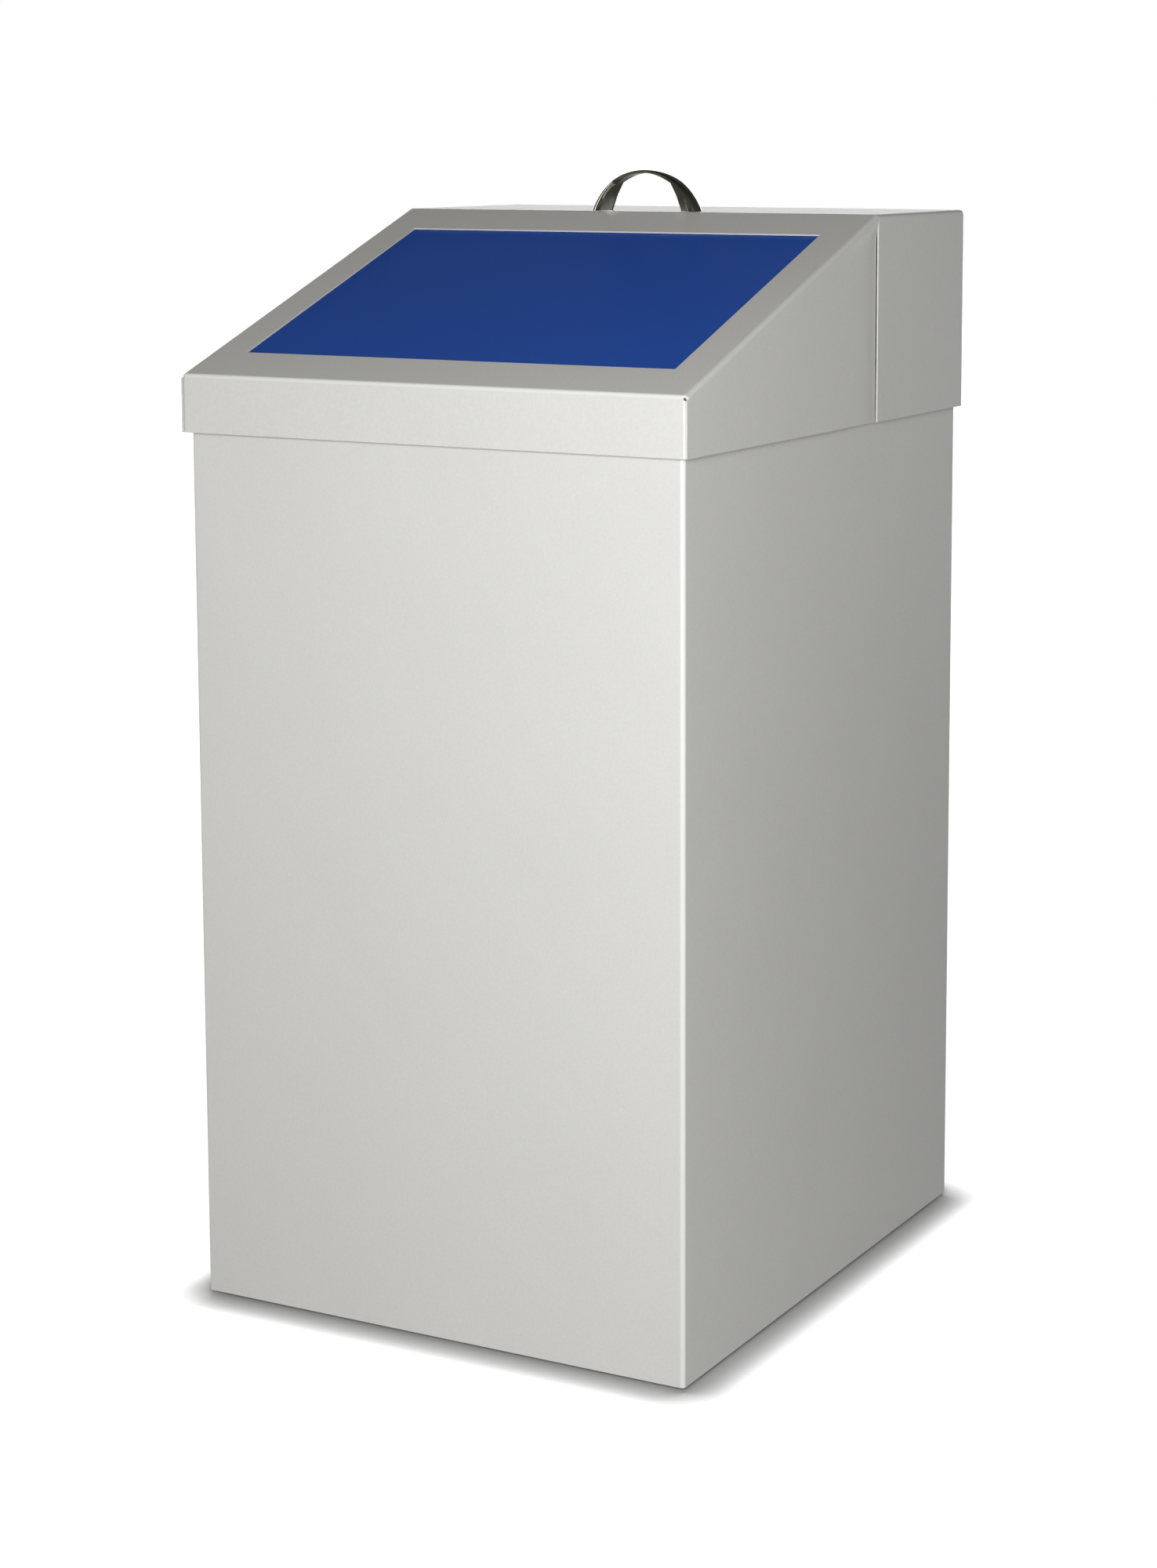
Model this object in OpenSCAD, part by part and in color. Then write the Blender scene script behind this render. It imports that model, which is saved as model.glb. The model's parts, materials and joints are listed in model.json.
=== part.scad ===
// Deposit bin: a folded sheet-steel case, a lift-off hood with a sprung push flap,
// and a galvanised liner that lifts out by two wire grips.
// The origin is on the floor under the middle of the bin. The front faces -Y and the top +Z.

/* [Case] */
// Width of the case over its side walls
case_w = 340; // [300:1:420]
// Depth of the case over its front and rear
case_d = 390; // [340:1:470]
// Height of the case walls from their lower edge to the rim
case_h = 576; // [480:1:700]
// Thickness of the painted sheet that the case and the hood are folded from
sheet = 1; // [0.8:0.1:1.2]
// Outside radius of the case's upright bends
case_bend_r = 2.8; // [2:0.1:5]
// Width of the two flanges that the case turns in at the rear
return_w = 16; // [12:1:24]
// Depth of the flat hem that doubles the rim
hem_h = 10; // [6:1:14]
// Height of the base pan's folded-up lips
pan_lip_h = 18; // [10:1:30]

/* [Foot pads] */
// Height of the rubber pads under the case
pad_h = 3; // [2:0.5:8]
// Diameter of a pad
pad_d = 24; // [16:1:30]
// Distance from a pad's centre to the case's two nearest faces
pad_inset = 26; // [16:1:60]

/* [Hood] */
// Distance from the case's outer face to the hood's outer face
overhang = 4; // [3:0.5:8]
// How far the hood's skirt hangs below the case's rim
skirt_lap = 30.5; // [20:0.5:45]
// Height of the hood's front fold above the case's rim
fold_above_rim = 5; // [5:0.5:30]
// Level run of the sloping panel between its two folds
slope_run = 258.5; // [220:0.5:300]
// Rise of the sloping panel
slope_rise = 95; // [85:1:130]
// Outside radius of the hood's folds
hood_bend_r = 3; // [2:0.1:5]
// Width of the open joints between the hood's folded edges
joint_gap = 0.5; // [0.3:0.1:1]
// Diameter of the relief holes where two folds meet
relief_d = 1.8; // [1.4:0.1:1.8]

/* [Hood ledges] */
// Length of each side ledge that rests on the case's rim
side_ledge_l = 40; // [20:1:80]
// Distance from the hood's front face to the middle of a side ledge
side_ledge_from_front = 130; // [100:1:180]
// Length of the rear ledge
rear_ledge_l = 120; // [60:1:200]
// Height of a ledge's upright leg
ledge_h = 20; // [14:1:26]
// How far a ledge's level leg reaches in past the rim's hem
ledge_reach = 3; // [1:0.5:4]
// Thickness of the ledges and the hinge brackets
bracket_t = 1.5; // [1:0.1:2]

/* [Flap] */
// Distance from the hood's side face to the flap opening
side_margin = 25; // [25:1:60]
// Distance along the slope from either fold to the flap opening
end_margin = 35; // [30:1:60]
// Corner radius of the flap opening
opening_r = 3; // [1:0.5:10]
// How far the flap laps behind the opening at its sides and front
flap_lap = 5; // [3:0.5:8]
// Thickness of the flap
flap_t = 1.2; // [0.8:0.1:2]
// Depth of the flap's folded lips
flap_lip = 12; // [8:1:20]
// Outside radius of the flap's folds
flap_bend_r = 2.2; // [2:0.1:4]

/* [Flap hinge] */
// Diameter of the hinge rod
rod_d = 6; // [4:0.5:8]
// Depth of the rod's axis below the slope's inner face
rod_depth = 9; // [9:0.5:14]
// How far the rod lies behind the flap opening's upper edge
rod_lap = 5; // [3:0.5:8]
// Radius of the flap's ears and the brackets' eyes around the rod
eye_r = 7; // [6:0.5:9]
// Length of a hinge bracket along the slope
hinge_bracket_l = 40; // [30:1:44]
// Gap between a hinge bracket's flat leg and the hood's cheek
hinge_bracket_gap = 2; // [1:0.5:4]
// Wall of the nylon bushes in the flap's ears
bush_wall = 1.5; // [1:0.1:2]
// Diameter of the push-on clips at the rod's ends
clip_d = 13; // [10:1:14]
// Thickness of a clip
clip_t = 1.2; // [0.8:0.1:2]

/* [Flap springs] */
// Wire diameter of the torsion springs
spring_wire_d = 1.8; // [1:0.1:2]
// Mean diameter of a spring's coils
spring_coil_d = 10; // [9:0.1:10]
// Number of turns in a spring
spring_turns = 12; // [6:1:14]
// Length of the leg that lifts the flap
spring_flap_leg = 45; // [20:1:60]
// Length of the leg that bears on the slope
spring_hood_leg = 20; // [12:1:22]

/* [Bow handle] */
// Overall length of the handle
handle_l = 80.6; // [70:0.1:120]
// Height of the handle
handle_h = 27; // [24:0.5:40]
// Width of the handle across its grip
handle_w = 12; // [8:1:20]
// Thickness of the grip at its crown
handle_crown_t = 2.3; // [2:0.1:4]
// Clear width between the handle's feet
handle_gap = 52; // [46:0.5:58]
// Clear width between the tops of the handle's straight legs
handle_gap_top = 39; // [34:0.5:44]
// Height of the handle's straight legs
handle_leg_h = 18.2; // [14:0.1:20]
// Distance between the handle's two screws
handle_screw_pitch = 64; // [64:1:64]
// Distance from the hood's top fold to the handle's middle
handle_from_fold = 16.5; // [12:0.5:110]
// Thread diameter of the handle's screws
screw_d = 4; // [3:0.5:4]
// Length of thread inside the handle's foot
screw_grip = 9; // [6:0.5:9]

/* [Liner] */
// Gap between the liner's side walls and the case's hem
liner_side_gap = 4; // [3:0.5:5]
// Gap between the liner's end walls and the case's hem
liner_end_gap = 5; // [3:0.5:10]
// Depth of the liner's rim below the case's rim
liner_below_rim = 23; // [15:1:40]
// Thickness of the galvanised sheet
liner_t = 0.8; // [0.7:0.1:1]
// Outside radius of the liner's upright corners
liner_r = 15; // [8:1:30]
// Depth of the liner's outward rim hem
liner_hem_h = 9; // [6:1:14]
// Width of the lap where the liner's wrap closes at the rear
liner_seam_w = 20; // [12:1:30]
// Height of the liner base's folded-up lips
liner_lip_h = 14; // [8:1:25]
// Thickness of the rubber mat that softens the drop
mat_t = 10; // [6:1:20]
// Gap between the mat and the liner's walls
mat_gap = 3; // [2:0.5:8]

/* [Wire grips] */
// Diameter of the grip wire
wire_d = 5; // [4:0.5:5]
// Distance between a grip's two legs
grip_w = 84; // [70:1:120]
// Drop from the pivot to the grip's bar
grip_drop = 60; // [50:1:90]
// Depth of the pivots below the liner's rim
grip_below_rim = 30; // [28:1:45]
// Radius of the bends beside the grip's bar
grip_bend_r = 12; // [8:1:20]
// Radius of the bends beside the pivots
pin_bend_r = 5; // [4:0.5:8]
// Length of a strap ear along the pivot
ear_l = 12; // [10:1:20]
// Thickness of a strap ear
ear_t = 1.2; // [1:0.1:1.5]
// Height of a strap ear's plate
ear_h = 34; // [30:1:36]
// Diameter of the blind rivets
rivet_d = 3.2; // [2.4:0.1:4]

/* [Fits] */
// Gap between parts of two bodies that rest on each other
rest_gap = 0.3; // [0.2:0.05:0.5]
// Radial clearance of a shaft that turns in a hole
run_fit = 0.05; // [0.02:0.01:0.1]
// Radial clearance of a screw or rivet in its hole
fixing_fit = 0.05; // [0.02:0.01:0.2]

/* [Hidden] */
$fn = 64;

// Levels above the floor
rim_z = pad_h + case_h;
skirt_z = rim_z - skirt_lap;
front_fold_z = rim_z + fold_above_rim;
hood_top_z = front_fold_z + slope_rise;

// The hood's outer size, its ledges and its top fold
hood_w = case_w + 2 * overhang;
hood_d = case_d + 2 * overhang;
ledge_w = overhang + sheet + ledge_reach;
top_fold_y = slope_run - hood_d / 2;
slope_angle = atan(slope_rise / slope_run);
slope_l = norm([slope_run, slope_rise]);

// The flap opening, and the flap behind it
opening_w = hood_w - 2 * side_margin;
opening_l = slope_l - 2 * end_margin;
flap_w = opening_w + 2 * flap_lap;
flap_top = -sheet - rest_gap;
flap_front = end_margin + opening_l + flap_lap;
rod_level = -sheet - rod_depth;

// The hinge, from the flap's ear outwards
rod_from_fold = end_margin - rod_lap;
bush_flange_t = 2.4;
bush_d = rod_d + 2 * bush_wall;
hinge_leg_x = flap_w / 2 + bush_flange_t + 2 * rest_gap;
hinge_bracket_w = hood_w / 2 - sheet - hinge_bracket_gap - hinge_leg_x;
rod_end_proud = 2;
rod_l = 2 * (hinge_leg_x + bracket_t + clip_t + rod_end_proud);
bush_inner_l = 3;
spring_outer_x = flap_w / 2 - flap_t - bush_inner_l - rest_gap - spring_wire_d / 2;

// The line along the middle of a spring's wire, in the slope's frame: the leg on
// the slope, then the turns, each one wire and a little more apart, then the flap's leg
spring_steps = 10;
spring_turn_gap = 0.15;
spring_pitch = spring_wire_d + spring_turn_gap;
coil_r = spring_coil_d / 2;
hood_leg_z = -sheet - spring_wire_d / 2 - run_fit;
flap_leg_z = flap_top - flap_t - spring_wire_d / 2 - 2 * run_fit;
spring_line = concat(
    [[0, spring_hood_leg - rod_from_fold, hood_leg_z]],
    [for (i = [0 : spring_turns * spring_steps])
        let (turn = 90 + 360 * i / spring_steps)
        [
            spring_pitch * i / spring_steps,
            coil_r * cos(turn) - rod_from_fold,
            coil_r * sin(turn) + rod_level
        ]],
    [[spring_pitch * spring_turns, -rod_from_fold - spring_flap_leg, flap_leg_z]]
);

// Washers under the handle's screw heads
washer_d = 2.25 * screw_d;
washer_t = 0.8;

// The liner stands on the base pan
liner_w = case_w - 4 * sheet - 2 * liner_side_gap;
liner_d = case_d - 6 * sheet - 2 * liner_end_gap;
liner_z = pad_h + sheet + rest_gap;
liner_top_z = rim_z - liner_below_rim;
liner_h = liner_top_z - liner_z;
liner_inner_x = liner_w / 2 - liner_t;

// The grips turn in strap ears on the liner's side walls
knuckle_inner_r = wire_d / 2 + run_fit;
knuckle_r = knuckle_inner_r + ear_t;
knuckle_wall_gap = 0.2;
pivot_x = liner_inner_x - knuckle_r - knuckle_wall_gap;
pivot_z = liner_top_z - grip_below_rim;
ear_bend_gap = 1.5;
ear_y = grip_w / 2 + pin_bend_r + ear_bend_gap;
rivet_offset = (ear_h / 2 + knuckle_r) / 2;

// Finishes
silver_paint = [0.79, 0.79, 0.77];
blue_paint = [0.1, 0.23, 0.5];
galvanised = [0.63, 0.66, 0.67];
bright_steel = [0.75, 0.75, 0.77];
chrome = [0.85, 0.86, 0.88];
rubber = [0.13, 0.13, 0.13];
nylon = [0.9, 0.89, 0.84];

// Small extra length that carries a cut past the face it opens
past = 1;

// A rectangle with four round corners, about the origin.
module rounded_plan(width, depth, r) {
    square([width, depth - 2 * r], center = true);
    square([width - 2 * r, depth], center = true);
    for (x = [-1, 1], y = [-1, 1])
        translate([x * (width / 2 - r), y * (depth / 2 - r)])
            circle(r);
}

// An upright tab: its upper edge lies at height top, with two round upper corners.
module round_topped(width, top, r, depth) {
    translate([-width / 2, top - depth])
        square([width, depth - r]);
    translate([r - width / 2, top - depth])
        square([width - 2 * r, depth]);
    for (x = [-1, 1])
        translate([x * (width / 2 - r), top - r])
            circle(r);
}

// A quarter of a ring in the quadrant where both axes are positive.
module quarter_ring(r, t) {
    intersection() {
        difference() {
            circle(r);
            circle(r - t);
        }
        square(2 * r);
    }
}

// Extrudes an outline drawn in Y and Z evenly to both sides of X = 0.
module across(width) {
    rotate([90, 0, 90])
        translate([0, 0, -width / 2])
            linear_extrude(width)
                children();
}

// Extrudes an outline drawn in X and Z towards -Y, from Y = 0.
module forwards(length) {
    rotate([90, 0, 0])
        linear_extrude(length)
            children();
}

// Moves from the top fold's frame to the object's: there -Y runs down the slope,
// and +Z stands straight out of it.
module on_slope() {
    translate([0, top_fold_y, hood_top_z])
        rotate([slope_angle, 0, 0])
            children();
}

// The same piece on the left and on the right.
module both_sides() {
    children();
    mirror([1, 0, 0])
        children();
}

// ---------------------------------------------------------------- case

// Front, two sides and two rear flanges in one wrap, with a hem round the rim.
module body_shell() {
    side_hem_l = case_d - case_bend_r - 3 * sheet - 2 * past;
    color(silver_paint) {
        translate([0, 0, pad_h])
            linear_extrude(case_h)
                difference() {
                    rounded_plan(case_w, case_d, case_bend_r);
                    rounded_plan(case_w - 2 * sheet, case_d - 2 * sheet, case_bend_r - sheet);
                    translate([0, case_d / 2])
                        square([case_w - 2 * return_w, 4 * sheet], center = true);
                }
        translate([0, sheet * 1.5 - case_d / 2, rim_z - hem_h / 2])
            cube([case_w - 2 * case_bend_r - 2 * past, sheet, hem_h], center = true);
        both_sides()
            translate([case_w / 2 - 2 * sheet, case_bend_r + past - case_d / 2, rim_z - hem_h])
                cube([sheet, side_hem_l, hem_h]);
    }
}

// A flat panel spot-welded inside the case's rear flanges, with its own hem.
module rear_panel() {
    panel_w = case_w - 2 * case_bend_r - past;
    hem_w = panel_w - 2 * hem_h;
    color(silver_paint)
        translate([0, case_d / 2 - sheet, pad_h]) {
            translate([-panel_w / 2, -sheet, 0])
                cube([panel_w, sheet, case_h]);
            translate([-hem_w / 2, -2 * sheet, case_h - hem_h])
                cube([hem_w, sheet, hem_h]);
        }
}

// A shallow tray welded in flush with the case's lower edge.
module base_pan() {
    pan_w = case_w - 2 * sheet;
    pan_d = case_d - 3 * sheet;
    lip_w = pan_w - 4 * case_bend_r;
    lip_d = pan_d - 4 * case_bend_r;
    color(silver_paint)
        translate([0, -sheet / 2, pad_h]) {
            linear_extrude(sheet)
                rounded_plan(pan_w, pan_d, case_bend_r);
            for (y = [-1, 1])
                translate([0, y * (pan_d - sheet) / 2, pan_lip_h / 2])
                    cube([lip_w, sheet, pan_lip_h], center = true);
            for (x = [-1, 1])
                translate([x * (pan_w - sheet) / 2, 0, pan_lip_h / 2])
                    cube([sheet, lip_d, pan_lip_h], center = true);
        }
}

// Four rubber pads stuck under the base pan.
module foot_pads() {
    color(rubber)
        for (x = [-1, 1], y = [-1, 1])
            translate([x * (case_w / 2 - pad_inset), y * (case_d / 2 - pad_inset), 0])
                cylinder(h = pad_h, d = pad_d);
}

// ---------------------------------------------------------------- hood

// The side view of the hood's outer faces moved in by inset, with round folds.
module hood_profile(inset, bottom_z) {
    r = hood_bend_r - inset;
    front_y = inset - hood_d / 2;
    rear_y = hood_d / 2 - inset;
    top_z = hood_top_z - inset;
    fold_y = top_fold_y + inset * tan(slope_angle / 2);
    fold_z = hood_top_z - inset / cos(slope_angle) + (front_y - top_fold_y) * tan(slope_angle);
    // The front fold turns through a quarter less the slope's angle.
    front_turn = 90 - slope_angle;
    front_set = r * tan(front_turn / 2);
    polygon([
        [front_y, bottom_z],
        [rear_y, bottom_z],
        [rear_y, top_z - r],
        [rear_y - r, top_z],
        [fold_y, top_z],
        [front_y + front_set * cos(slope_angle), fold_z + front_set * sin(slope_angle)],
        [front_y, fold_z - front_set]
    ]);
    translate([rear_y - r, top_z - r])
        circle(r);
    translate([front_y + r, fold_z - front_set])
        circle(r);
}

// The solid inside the hood's outer faces moved in by inset.
module hood_form(inset, bottom_z) {
    across(hood_w - 2 * inset)
        hood_profile(inset, bottom_z);
}

// The open joint and relief hole beside the front skirt, on the left or right.
// The joint bites a hair into the cheek, so the skirt is cut free of it.
module front_joint_cut(side) {
    bite = joint_gap / 10;
    x = side * (hood_w / 2 - sheet + bite - joint_gap / 2);
    hole_z = front_fold_z - hood_bend_r;
    translate([x, -hood_d / 2, (hole_z + skirt_z - past) / 2])
        cube([joint_gap, 4 * sheet, hole_z - skirt_z + past], center = true);
    translate([x, 2 * sheet - hood_d / 2, hole_z])
        forwards(4 * sheet)
            circle(d = relief_d);
}

// The open joint and relief hole where the sloping cheek meets the rear flange.
module cheek_joint_cut(side) {
    hole_z = hood_top_z - hood_bend_r - relief_d / 2;
    translate([side * hood_w / 2, top_fold_y, (hole_z + skirt_z - past) / 2])
        cube([4 * sheet, joint_gap, hole_z - skirt_z + past], center = true);
    translate([side * hood_w / 2, top_fold_y, hole_z])
        rotate([0, 90, 0])
            cylinder(h = 4 * sheet, d = relief_d, center = true);
}

// One folded blank: front skirt, slope with the flap opening, top, rear and cheeks.
module hood_shell() {
    color(silver_paint)
        difference() {
            hood_form(0, skirt_z);
            hood_form(sheet, skirt_z - past);
            on_slope()
                translate([0, -end_margin - opening_l / 2, -3 * sheet])
                    linear_extrude(6 * sheet)
                        rounded_plan(opening_w, opening_l, opening_r);
            for (side = [-1, 1]) {
                front_joint_cut(side);
                cheek_joint_cut(side);
            }
            handle_screw_places()
                translate([0, 0, -2 * sheet])
                    cylinder(h = 4 * sheet, d = screw_d + 2 * fixing_fit);
        }
}

// An angle whose level leg lies on the rim: upright leg at X = 0, level leg towards -X.
module ledge_angle(length) {
    translate([-bracket_t, -length / 2, 0])
        cube([bracket_t, length, ledge_h]);
    translate([-ledge_w, -length / 2, 0])
        cube([ledge_w, length, bracket_t]);
}

module side_ledge() {
    color(silver_paint)
        translate([
            hood_w / 2 - sheet,
            side_ledge_from_front - hood_d / 2,
            rim_z + rest_gap
        ])
            ledge_angle(side_ledge_l);
}

module ledge_right() {
    side_ledge();
}

module ledge_left() {
    mirror([1, 0, 0])
        side_ledge();
}

module ledge_rear() {
    color(silver_paint)
        translate([0, hood_d / 2 - sheet, rim_z + rest_gap])
            rotate([0, 0, 90])
                ledge_angle(rear_ledge_l);
}

// The handle's two screw places, on the hood's top face.
module handle_screw_places() {
    for (x = [-1, 1])
        translate([x * handle_screw_pitch / 2, top_fold_y + handle_from_fold, hood_top_z])
            children();
}

// The handle from the front: a round back, straight legs and an arched inside.
module handle_outline() {
    back_r = ((handle_l / 2) ^ 2 + handle_h ^ 2) / (2 * handle_h);
    arch_h = handle_h - handle_crown_t - handle_leg_h;
    arch_r = ((handle_gap_top / 2) ^ 2 + arch_h ^ 2) / (2 * arch_h);
    difference() {
        translate([0, handle_h - back_r])
            circle(back_r);
        translate([-handle_l, -2 * back_r])
            square([2 * handle_l, 2 * back_r]);
        polygon([
            [-handle_gap / 2, 0],
            [handle_gap / 2, 0],
            [handle_gap_top / 2, handle_leg_h],
            [-handle_gap_top / 2, handle_leg_h]
        ]);
        intersection() {
            translate([0, handle_leg_h + arch_h - arch_r])
                circle(arch_r);
            translate([-handle_gap_top / 2, handle_leg_h])
                square([handle_gap_top, arch_h]);
        }
    }
}

module bow_handle() {
    color(chrome)
        difference() {
            translate([0, top_fold_y + handle_from_fold + handle_w / 2, hood_top_z])
                forwards(handle_w)
                    handle_outline();
            handle_screw_places()
                translate([0, 0, -past])
                    cylinder(h = past + screw_grip + fixing_fit, d = screw_d + 2 * fixing_fit);
        }
}

module handle_washers() {
    color(bright_steel)
        handle_screw_places()
            translate([0, 0, -sheet - washer_t])
                difference() {
                    cylinder(h = washer_t, d = washer_d);
                    translate([0, 0, -past])
                        cylinder(h = washer_t + 2 * past, d = screw_d + 2 * fixing_fit);
                }
}

// Two pan-head screws, driven up through the hood's top into the handle's feet.
module handle_screws() {
    head_h = 0.6 * screw_d;
    head_d = 2 * screw_d;
    socket_d = 0.6 * screw_d;
    socket_depth = head_h / 2;
    color(bright_steel)
        handle_screw_places()
            translate([0, 0, -sheet - washer_t]) {
                cylinder(h = washer_t + sheet + screw_grip, d = screw_d);
                translate([0, 0, -head_h])
                    difference() {
                        cylinder(h = head_h, d = head_d);
                        translate([0, 0, -past])
                            cylinder(h = past + socket_depth, d = socket_d, $fn = 6);
                    }
            }
}

// ---------------------------------------------------------------- flap hinge

// The rod's axis, in the slope's frame.
module at_rod(x) {
    translate([x, -rod_from_fold, rod_level])
        rotate([0, 90, 0])
            children();
}

// An angle under the slope: its flat leg is welded up, its other leg holds the rod.
module hinge_bracket() {
    leg_l = rod_depth + eye_r;
    color(silver_paint)
        on_slope()
            difference() {
                translate([hinge_leg_x, -rod_from_fold - hinge_bracket_l / 2, -sheet]) {
                    translate([0, 0, -bracket_t])
                        cube([hinge_bracket_w, hinge_bracket_l, bracket_t]);
                    translate([0, 0, -leg_l])
                        cube([bracket_t, hinge_bracket_l, leg_l]);
                }
                at_rod(hinge_leg_x - past)
                    cylinder(h = bracket_t + 2 * past, d = rod_d + 2 * fixing_fit);
            }
}

module hinge_bracket_right() {
    hinge_bracket();
}

module hinge_bracket_left() {
    mirror([1, 0, 0])
        hinge_bracket();
}

module hinge_rod() {
    tip = 1;
    color(bright_steel)
        on_slope() {
            at_rod(tip - rod_l / 2)
                cylinder(h = rod_l - 2 * tip, d = rod_d);
            at_rod(rod_l / 2 - tip)
                cylinder(h = tip, d1 = rod_d, d2 = rod_d - tip);
            at_rod(-rod_l / 2)
                cylinder(h = tip, d1 = rod_d - tip, d2 = rod_d);
        }
}

// Push-on clips against the outer faces of the brackets.
module rod_clips() {
    color(bright_steel)
        both_sides()
            on_slope()
                difference() {
                    at_rod(hinge_leg_x + bracket_t)
                        cylinder(h = clip_t, d = clip_d);
                    at_rod(hinge_leg_x)
                        cylinder(h = bracket_t + clip_t + past, d = rod_d + 2 * fixing_fit);
                }
}

// A round wire along a line of points: a ring of corners at each point, closed at both ends.
// Each ring stands square to the line, with its first corner towards +X.
module wire_along(line, r, sides) {
    last = len(line) - 1;
    function heading(i) = line[min(i + 1, last)] - line[max(i - 1, 0)];
    function unit(v) = v / norm(v);
    corners = [
        for (i = [0 : last])
            let (
                ahead = unit(heading(i)),
                out = unit(cross(ahead, [1, 0, 0])),
                side = cross(out, ahead)
            )
            for (k = [0 : sides - 1])
                line[i] + r * (cos(360 * k / sides) * side + sin(360 * k / sides) * out)
    ];
    walls = [
        for (i = [0 : last - 1], k = [0 : sides - 1])
            let (next = (k + 1) % sides)
            [i * sides + k, (i + 1) * sides + k, (i + 1) * sides + next, i * sides + next]
    ];
    start = [[for (k = [0 : sides - 1]) k]];
    finish = [[for (k = [sides - 1 : -1 : 0]) last * sides + k]];
    polyhedron(points = corners, faces = concat(walls, start, finish), convexity = 10);
}

module torsion_spring() {
    color(bright_steel)
        on_slope()
            translate([spring_outer_x - spring_pitch * spring_turns, 0, 0])
                wire_along(spring_line, spring_wire_d / 2, 8);
}

module torsion_spring_right() {
    torsion_spring();
}

module torsion_spring_left() {
    mirror([1, 0, 0])
        torsion_spring();
}

// ---------------------------------------------------------------- flap

// One ear of the flap: the side lip deepened to an eye around the rod.
module flap_ear() {
    ear_run = 3 * eye_r;
    translate([flap_w / 2 - flap_t, -rod_from_fold - ear_run, rod_level - eye_r])
        cube([flap_t, ear_run, flap_top - flap_bend_r - rod_level + eye_r]);
    at_rod(flap_w / 2 - flap_t)
        cylinder(h = flap_t, r = eye_r);
}

// The flap's panel and side lips, cut from one bent channel.
module flap_channel() {
    translate([0, -rod_from_fold, 0])
        forwards(flap_front - rod_from_fold - flap_bend_r)
            difference() {
                round_topped(flap_w, flap_top, flap_bend_r, flap_lip);
                round_topped(
                    flap_w - 2 * flap_t,
                    flap_top - flap_t,
                    flap_bend_r - flap_t,
                    flap_lip + past
                );
            }
}

// The flap's front fold and front lip.
module flap_front_lip() {
    across(flap_w - 2 * flap_bend_r - 2 * past) {
        translate([flap_bend_r - flap_front, flap_top - flap_bend_r])
            mirror([1, 0])
                quarter_ring(flap_bend_r, flap_t);
        translate([-flap_front, flap_top - flap_lip])
            square([flap_t, flap_lip - flap_bend_r]);
    }
}

// The blue flap: one blank with two side lips, a front lip and two bored ears.
module flap_panel() {
    color(blue_paint)
        on_slope()
            difference() {
                union() {
                    flap_channel();
                    flap_front_lip();
                    both_sides()
                        flap_ear();
                }
                at_rod(-flap_w)
                    cylinder(h = 2 * flap_w, d = bush_d + 2 * fixing_fit);
            }
}

// A flanged nylon bush in the flap's ear, running on the rod.
module flap_bush() {
    color(nylon)
        on_slope()
            difference() {
                union() {
                    at_rod(flap_w / 2 - flap_t - bush_inner_l)
                        cylinder(h = flap_t + bush_inner_l + bush_flange_t, d = bush_d);
                    at_rod(flap_w / 2)
                        cylinder(h = bush_flange_t, d = bush_d + 2 * bush_wall);
                }
                at_rod(flap_w / 2 - flap_t - bush_inner_l - past)
                    cylinder(
                        h = flap_t + bush_inner_l + bush_flange_t + 2 * past,
                        d = rod_d + 2 * run_fit
                    );
            }
}

module flap_bush_right() {
    flap_bush();
}

module flap_bush_left() {
    mirror([1, 0, 0])
        flap_bush();
}

// ---------------------------------------------------------------- liner

// The wall as a ring of the liner's plan, grown outwards by grow.
module liner_ring(grow, t) {
    difference() {
        rounded_plan(liner_w + 2 * grow, liner_d + 2 * grow, liner_r + grow);
        rounded_plan(
            liner_w + 2 * grow - 2 * t,
            liner_d + 2 * grow - 2 * t,
            liner_r + grow - t
        );
    }
}

// The four rivet axes of one side of the liner, each pointing towards +X.
module rivet_places() {
    for (y = [-1, 1], z = [-1, 1])
        translate([liner_inner_x, y * (ear_y + ear_l / 2), pivot_z + z * rivet_offset])
            rotate([0, 90, 0])
                children();
}

// The galvanised wrap, with a hemmed rim and a lapped seam at the rear.
module liner_shell() {
    color(galvanised)
        difference() {
            union() {
                translate([0, 0, liner_z])
                    linear_extrude(liner_h)
                        liner_ring(0, liner_t);
                translate([0, 0, liner_top_z - liner_hem_h])
                    linear_extrude(liner_hem_h)
                        liner_ring(liner_t, liner_t);
                translate([-liner_seam_w / 2, liner_d / 2, liner_z])
                    cube([liner_seam_w, liner_t, liner_h]);
            }
            both_sides()
                rivet_places()
                    translate([0, 0, -past])
                        cylinder(h = liner_t + 2 * past, d = rivet_d + 2 * fixing_fit);
        }
}

// A tray spot-welded inside the wrap's lower edge.
module liner_base() {
    inner_w = liner_w - 2 * liner_t;
    inner_d = liner_d - 2 * liner_t;
    inner_r = liner_r - liner_t;
    color(galvanised)
        translate([0, 0, liner_z])
            difference() {
                linear_extrude(liner_lip_h)
                    rounded_plan(inner_w, inner_d, inner_r);
                translate([0, 0, liner_t])
                    linear_extrude(liner_lip_h)
                        rounded_plan(inner_w - 2 * liner_t, inner_d - 2 * liner_t, inner_r - liner_t);
            }
}

module drop_mat() {
    inset = 2 * liner_t + mat_gap;
    color(rubber)
        translate([0, 0, liner_z + liner_t])
            linear_extrude(mat_t)
                rounded_plan(liner_w - 2 * inset, liner_d - 2 * inset, liner_r - inset);
}

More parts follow.
